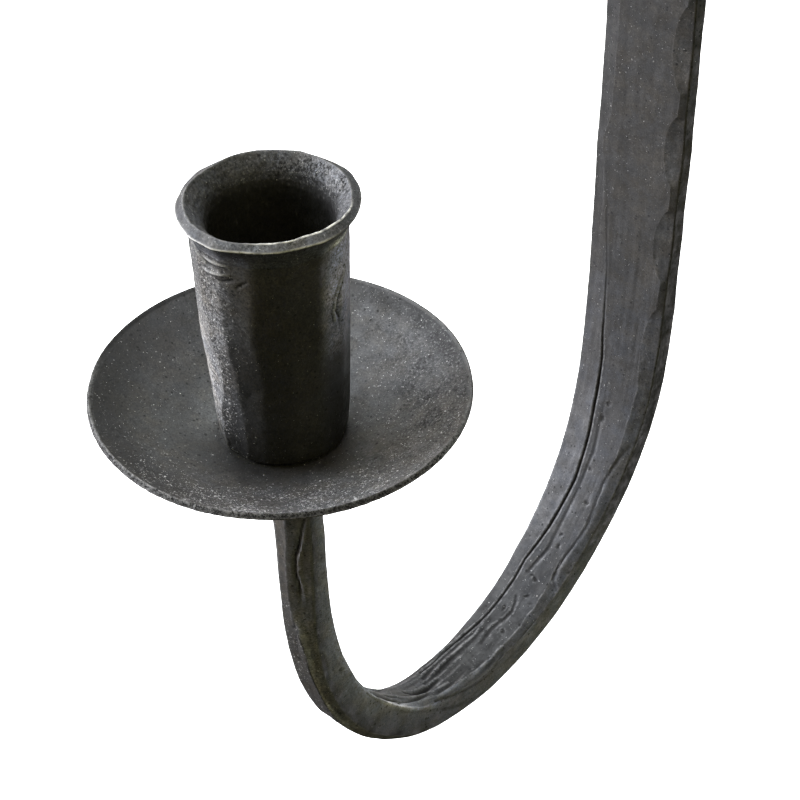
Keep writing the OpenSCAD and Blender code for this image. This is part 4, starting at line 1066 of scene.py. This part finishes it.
def black_iron(name, tone=1.0, grain=1.0, rough=(0.57, 0.83), tint=(1.0, 0.99, 0.96), worn=1.0, mottle=1.0, specks=1.0, glints=1.0, marks=True,
               extra=None, spark=None, rim=None, warmth=None, flecked=1.0, pitted=None):
    """Blackened, oiled forging scale: near black and satin, finely grained, with lighter worn edges, dark pits and
    crevices in painted shade, and tiny bright specks and flecks as painted glints.
    """
    f = Finish(name)
    cloud, patch = f.noise(8, 4, 0.6, warp=0.8), f.noise(2.6, 4, 0.62, offset=3.1, warp=0.5)
    grit, fine = f.noise(0.85, 3, 0.7, offset=7.7), f.noise(0.36, 2, 0.6, offset=2.7)
    k = f.fit(cloud, 0.30, 0.70, 1 - 0.28 * mottle, 1 + 0.28 * mottle, smooth=False)
    k = f.math("MULTIPLY", k, f.fit(patch, 0.32, 0.68, 1 - 0.25 * mottle, 1 + 0.25 * mottle, smooth=False))
    k = f.math("MULTIPLY", k, f.fit(grit, 0.30, 0.70, 1 - 0.50 * grain, 1 + 0.55 * grain, smooth=False))
    k = f.math("MULTIPLY", k, f.fit(fine, 0.30, 0.70, 1 - 0.60 * grain, 1 + 0.75 * grain, smooth=False))
    # per-point brightness from the mesh: mostly painted light and shade, with random tone
    if extra:
        k = f.math("MULTIPLY", k, f.value(extra))
    warm = f.fit(f.noise(5, 3, 0.6, offset=11.0), 0.38, 0.62)
    col = f.mix(warm, [0.030 * tone * c * w for c, w in zip(tint, (0.97, 1.0, 1.05))], [0.030 * tone * c * w for c, w in zip(tint, (1.05, 1.0, 0.92))])
    if warmth:
        col = f.mix(1.0, col, f.mix(f.value(warmth), (0.95, 0.99, 1.10), (1.08, 1.0, 0.87)), "MULTIPLY")
        # painted cool sheen: a bluish tint where highlights catch cool light
        col = f.mix(1.0, col, f.mix(f.value("painted_cool_sheen"), (1.0, 1.0, 1.0), (1.01, 0.99, 1.27)), "MULTIPLY")
    col = f.times(col, k)
    rough_n = f.math("ADD", f.math("MULTIPLY", f.noise(3.5, 4, 0.65, offset=1.4), 0.6), f.math("MULTIPLY", grit, 0.4))
    r = f.fit(rough_n, 0.36, 0.64, rough[0], rough[1])
    if specks:
        dark = f.dots(0.8, 0.30, 0.30 * specks, 0.08, (0.013, 0.021, 0.007), 0.6)
        col = f.mix(f.math("MULTIPLY", dark, 0.75), col, [0.004 * c for c in tint])
        r = f.math("ADD", r, f.math("MULTIPLY", dark, 0.2), clamp=True)
    if glints:
        few = f.fit(f.noise(6, 2, 0.6, offset=21.0), 0.40, 0.62, 0.25, 1.0)
        glint = f.math("MULTIPLY", f.dots(0.9, 0.17, 0.40 * glints, 0.05, (0.031, 0.017, 0.043), 0.35), few)
        col = f.mix(f.math("MULTIPLY", glint, 0.9), col, (0.26, 0.255, 0.24))
        tiny = f.dots(0.55, 0.17, 0.5 * glints, 0.06, (0.051, 0.037, 0.023), 0.35)
        col = f.mix(f.math("MULTIPLY", tiny, 0.5), col, (0.13, 0.127, 0.12))
    if spark:
        # painted glints: irregular bright flecks that stand in for sparkle highlights, with dark pores and coarser
        # grain, thickest where the attribute is high
        amount = f.math("MULTIPLY", f.value(spark), 0.17 * flecked)
        small = f.math("ADD", f.noise(0.43, 3, 0.78, offset=41.0), amount)
        large = f.math("ADD", f.noise(0.80, 3, 0.80, offset=43.0), f.math("MULTIPLY", amount, 0.9))
        flecks = f.math("MAXIMUM", f.math("MULTIPLY", f.fit(small, 0.675, 0.72), 0.85), f.fit(large, 0.70, 0.74))
        coarse = f.math("ADD", f.fit(f.noise(0.62, 3, 0.75, offset=61.0), 0.36, 0.64, -0.65, 0.65, smooth=False),
                        f.fit(f.noise(0.42, 1, 0.6, offset=67.0), 0.34, 0.66, -0.85, 0.95, smooth=False))
        col = f.times(col, f.math("MAXIMUM", f.math("MULTIPLY_ADD", f.math("MAXIMUM", f.value(spark), 0.0), coarse, 1.0), 0.05))
        pores = f.fit(f.math("ADD", f.noise(0.62, 3, 0.75, offset=47.0), f.math("MULTIPLY", amount, 0.7)), 0.66, 0.72)
        col = f.mix(f.math("MULTIPLY", pores, 0.8), col, [0.006 * c for c in tint])
        col = f.mix(flecks, col, (0.66, 0.655, 0.64))
    if pitted:
        # clusters of small dark pits between light crumbs
        cluster = f.math("MULTIPLY", f.fit(f.noise(3.4, 3, 0.65, offset=71.0), 0.40, 0.62), f.value(pitted))
        pits = f.math("MULTIPLY", f.fit(f.noise(0.62, 3, 0.75, offset=73.0), 0.47, 0.56), cluster)
        crumbs = f.math("MULTIPLY", f.fit(f.noise(0.42, 2, 0.7, offset=79.0), 0.56, 0.64), f.value(pitted))
        col = f.mix(f.math("MULTIPLY", crumbs, 0.55), col, (0.17, 0.17, 0.17))
        col = f.mix(f.math("MULTIPLY", pits, 0.9), col, (0.006, 0.006, 0.006))
        r = f.math("ADD", r, f.math("MULTIPLY", pits, 0.2), clamp=True)
    if rim:
        ragged_edge = f.noise(0.42, 3, 0.82, offset=51.0)
        chips = f.math("MULTIPLY", f.fit(ragged_edge, 0.44, 0.60), f.value("rim_light_and_chips"))
        # the rim's cut edge: near black with light chips, their spread painting light where the edge is lit
        col = f.mix(f.value(rim), col, f.mix(chips, (0.002, 0.002, 0.002), (0.20, 0.196, 0.19)))
        r = f.math("ADD", r, f.math("MULTIPLY", f.math("MULTIPLY", f.value(rim), f.fit(ragged_edge, 0.57, 0.46)), 0.3), clamp=True)
    if marks:
        shade_and_pits, edge = f.value("painted_shade_and_pits"), f.value("edge")
        broken = f.fit(f.noise(1.1, 3, 0.7, offset=5.0), 0.38, 0.62)
        wear = f.math("MULTIPLY", f.math("MULTIPLY", edge, broken), 0.75 * worn)
        col = f.mix(wear, col, [0.12 * c for c in tint])
        # painted shade: crevices, hollows, pits and the shaded bands on the rim and under the lip drawn near black
        col = f.mix(f.math("MULTIPLY", shade_and_pits, 0.92), col, (0.003, 0.003, 0.0028))
        r = f.math("SUBTRACT", r, f.math("MULTIPLY", wear, 0.12))
        r = f.math("ADD", r, f.math("MULTIPLY", shade_and_pits, 0.3), clamp=True)
    f.put(f.bsdf.inputs["Base Color"], col)
    f.put(f.bsdf.inputs["Roughness"], r)
    f.bsdf.inputs["Metallic"].default_value = 0.0
    f.bsdf.inputs["IOR"].default_value = 1.5
    f.bsdf.inputs["Specular IOR Level"].default_value = 0.5
    layers = [
        (f.noise(2.2, 3, 0.55, offset=2.2), 0.30 * grain, 0.10),
        (grit, 0.75 * grain, 0.08),
        (fine, 0.75 * grain, 0.05),
    ]
    if rim:
        layers.append((f.math("MULTIPLY", ragged_edge, f.value(rim)), 1.0, 0.22))
    f.bump(layers)
    f.colour = col
    return f


def fastener(name, tone):
    """Zinc-plated steel dulled by handling: brushed rings, faint yellowing, dark brownish stains scattered at random.
    """
    f = Finish(name)
    fine = f.noise(0.25, 2, 0.6)
    ring = f.noise(0.5, 2, 0.5, vec=f.stretch(1.0, 1.0, 6.0), offset=1.0)
    stain = f.fit(f.noise(1.8, 3, 0.6, offset=2.0), 0.42, 0.62)
    col = f.mix(f.math("MULTIPLY", fine, 0.5), (0.42 * tone, 0.42 * tone, 0.43 * tone), (0.30 * tone, 0.30 * tone, 0.31 * tone))
    col = f.mix(f.math("MULTIPLY", stain, 0.55), col, (0.17 * tone, 0.15 * tone, 0.12 * tone))
    f.put(f.bsdf.inputs["Base Color"], col)
    f.bsdf.inputs["Metallic"].default_value = 1.0
    f.put(f.bsdf.inputs["Roughness"], f.fit(f.math("ADD", stain, ring), 0.2, 1.4, 0.30, 0.55))
    f.bump([(ring, 0.25, 0.04), (fine, 0.25, 0.02)])
    return f


def dress(ob, mat):
    ob.data.materials.clear()
    ob.data.materials.append(mat)


arm, pan, cup = build_arm(), build_pan(), build_cup()
dress(arm, black_iron("forged_iron_black", tone=0.95, tint=(0.99, 0.99, 1.0), specks=0.35, glints=0.15, grain=0.6, mottle=0.7,
                      extra="tone", spark="spark", warmth="warm").mat)
dress(pan, black_iron("sheet_iron_black", tone=1.05, grain=0.85, mottle=0.55, specks=0.6, glints=0.25, extra="tone", spark="spark", rim="rim", pitted="pitted").mat)
cup_finish = black_iron("cup_iron_black", tone=0.95, grain=1.0, specks=0.4, glints=0.04, mottle=0.6, extra="painted_light_and_tone", spark="spark", warmth="warm", flecked=0.55, pitted="pitted")
# worn bare metal and painted highlight on the lip's edges and ridge crests
ragged = cup_finish.fit(cup_finish.noise(0.9, 4, 0.75, offset=31.0), 0.33, 0.50)
cup_finish.put(cup_finish.bsdf.inputs["Base Color"],
               cup_finish.mix(cup_finish.math("MULTIPLY", cup_finish.value("worn_and_highlight"), ragged), cup_finish.colour, (0.86, 0.85, 0.80)))
dress(cup, cup_finish.mat)
floor_finish = black_iron("cup_floor_black", tone=0.7, marks=False)
steel = {n: fastener(n + "_steel", t) for n, t in (("flat_washer", 0.9), ("lock_washer", 0.7), ("fixing_screw", 1.0))}
nodes["cup_floor"].data.materials.clear()
nodes["cup_floor"].data.materials.append(floor_finish.mat)
for n, f in steel.items():
    nodes[n].data.materials.clear()
    nodes[n].data.materials.append(f.mat)

for ob, node, slot in ((arm, "arm", "forged_iron"), (pan, "drip_pan", "sheet_iron"), (cup, "candle_cup", "cup_iron")):
    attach(ob, "root")
    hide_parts(node)

# ------------------------------------------------------------------ camera, light, floor
RIGHT = (0.74760498, 0.66409467, -0.00806622)
UP = (-0.42072604, 0.4829602, 0.76794469)
AHEAD = (-0.51388364, 0.5707256, -0.64046537)
EYE = (0.2136033744, -0.3183847084, 0.1377745026)
cam_data = bpy.data.cameras.new("photo_camera")
cam_data.sensor_width = 36.0
cam_data.lens = 94.934
cam_data.clip_start = 0.01
cam_data.clip_end = 30.0
cam = bpy.data.objects.new("photo_camera", cam_data)
cam.matrix_world = Matrix([[RIGHT[k], UP[k], -AHEAD[k], EYE[k]] for k in range(3)] + [[0, 0, 0, 1]])
bpy.context.scene.collection.objects.link(cam)
bpy.context.scene.camera = cam

# Soft studio lights: (name, azimuth from +X towards +Y, elevation, softness in degrees, strength, colour)
LIGHTS = [
    ("key", 210, 10, 32, 6.00, (0.96, 0.97, 1.07)),
    ("key_high", 216, 35, 32, 1.17, (0.99, 1.04, 0.97)),
    ("left_low", 180, -15, 32, 2.10, (1.01, 1.00, 0.99)),
    ("back_left", 150, 10, 32, 0.39, (1.25, 0.96, 0.79)),
    ("wall_glow", 90, -15, 32, 2.76, (0.98, 1.01, 1.01)),
    ("sky_left", 180, 60, 32, 2.12, (0.93, 0.98, 1.09)),
    ("sky_back", 135, 60, 32, 2.29, (0.98, 1.03, 0.99)),
    ("sky_front", 270, 60, 32, 0.31, (1.35, 1.20, 0.45)),
    ("top", 0, 88, 32, 0.71, (1.01, 0.90, 1.09)),
    ("right", 0, 10, 32, 0.23, (1.10, 1.15, 0.75)),
    ("right_high", 0, 35, 32, 0.28, (1.25, 1.20, 0.55)),
    ("below_back", 60, -45, 32, 0.91, (1.02, 0.98, 1.00)),
    ("below_left", 240, -45, 32, 0.30, (1.30, 1.05, 0.65)),
    ("below_front", 300, -45, 32, 0.36, (1.01, 1.00, 0.99)),
]
for name, az, el, soft, power, colour in LIGHTS:
    data = bpy.data.lights.new(name, "SUN")
    data.energy, data.angle, data.color = power, math.radians(soft), colour
    ob = bpy.data.objects.new(name, data)
    a, e = math.radians(az), math.radians(el)
    x, y, z = math.cos(e) * math.cos(a), math.cos(e) * math.sin(a), math.sin(e)
    ob.matrix_world = Matrix.LocRotScale((x, y, z), None, None)
    from_dir = np.array([x, y, z])
    side = np.cross([0, 0, 1.0], from_dir)
    side /= np.linalg.norm(side)
    up = np.cross(from_dir, side)
    ob.matrix_world = Matrix([[side[k], up[k], from_dir[k], from_dir[k] * 2.0] for k in range(3)] + [[0, 0, 0, 1]])
    bpy.context.scene.collection.objects.link(ob)

world = bpy.data.worlds.new("studio")
bpy.context.scene.world = world
world.use_nodes = True
wt = world.node_tree
wt.nodes.clear()
w_out = wt.nodes.new("ShaderNodeOutputWorld")
w_mix = wt.nodes.new("ShaderNodeMixShader")
w_path = wt.nodes.new("ShaderNodeLightPath")
w_dim = wt.nodes.new("ShaderNodeBackground")
w_dim.inputs["Color"].default_value = (1, 1, 1, 1)
w_dim.inputs["Strength"].default_value = 0.02
w_lit = wt.nodes.new("ShaderNodeBackground")
w_lit.inputs["Color"].default_value = (1, 1, 1, 1)
w_lit.inputs["Strength"].default_value = 1.0
wt.links.new(w_path.outputs["Is Camera Ray"], w_mix.inputs[0])
wt.links.new(w_dim.outputs[0], w_mix.inputs[1])
wt.links.new(w_lit.outputs[0], w_mix.inputs[2])
wt.links.new(w_mix.outputs[0], w_out.inputs["Surface"])

white = Finish("studio_floor_white")
shade = white.fit(white.noise(400, 2, 0.5), 0.3, 0.7, 0.92, 0.96)
white.put(white.bsdf.inputs["Base Color"], white.mix(shade, (0.9, 0.9, 0.9), (0.95, 0.95, 0.95)))
white.bsdf.inputs["Roughness"].default_value = 0.9
white.bsdf.inputs["Emission Color"].default_value = (1, 1, 1, 1)
white.bsdf.inputs["Emission Strength"].default_value = 1.0
gx, gy = np.meshgrid(np.linspace(-6, 6, 13), np.linspace(-6, 6, 13), indexing="ij")
ground = np.stack([gx, gy, np.full(gx.shape, -1.6)], -1)
floor = make_mesh("studio_floor", ground.reshape(-1, 3), grid_quads(13, 13, False, False)[:, ::-1])
floor.data.materials.append(white.mat)
floor.visible_diffuse = floor.visible_glossy = False

scene = bpy.context.scene
scene.view_settings.view_transform = "Standard"
scene.view_settings.look = "None"
scene.view_settings.exposure = 0.0
scene.view_settings.gamma = 1.0
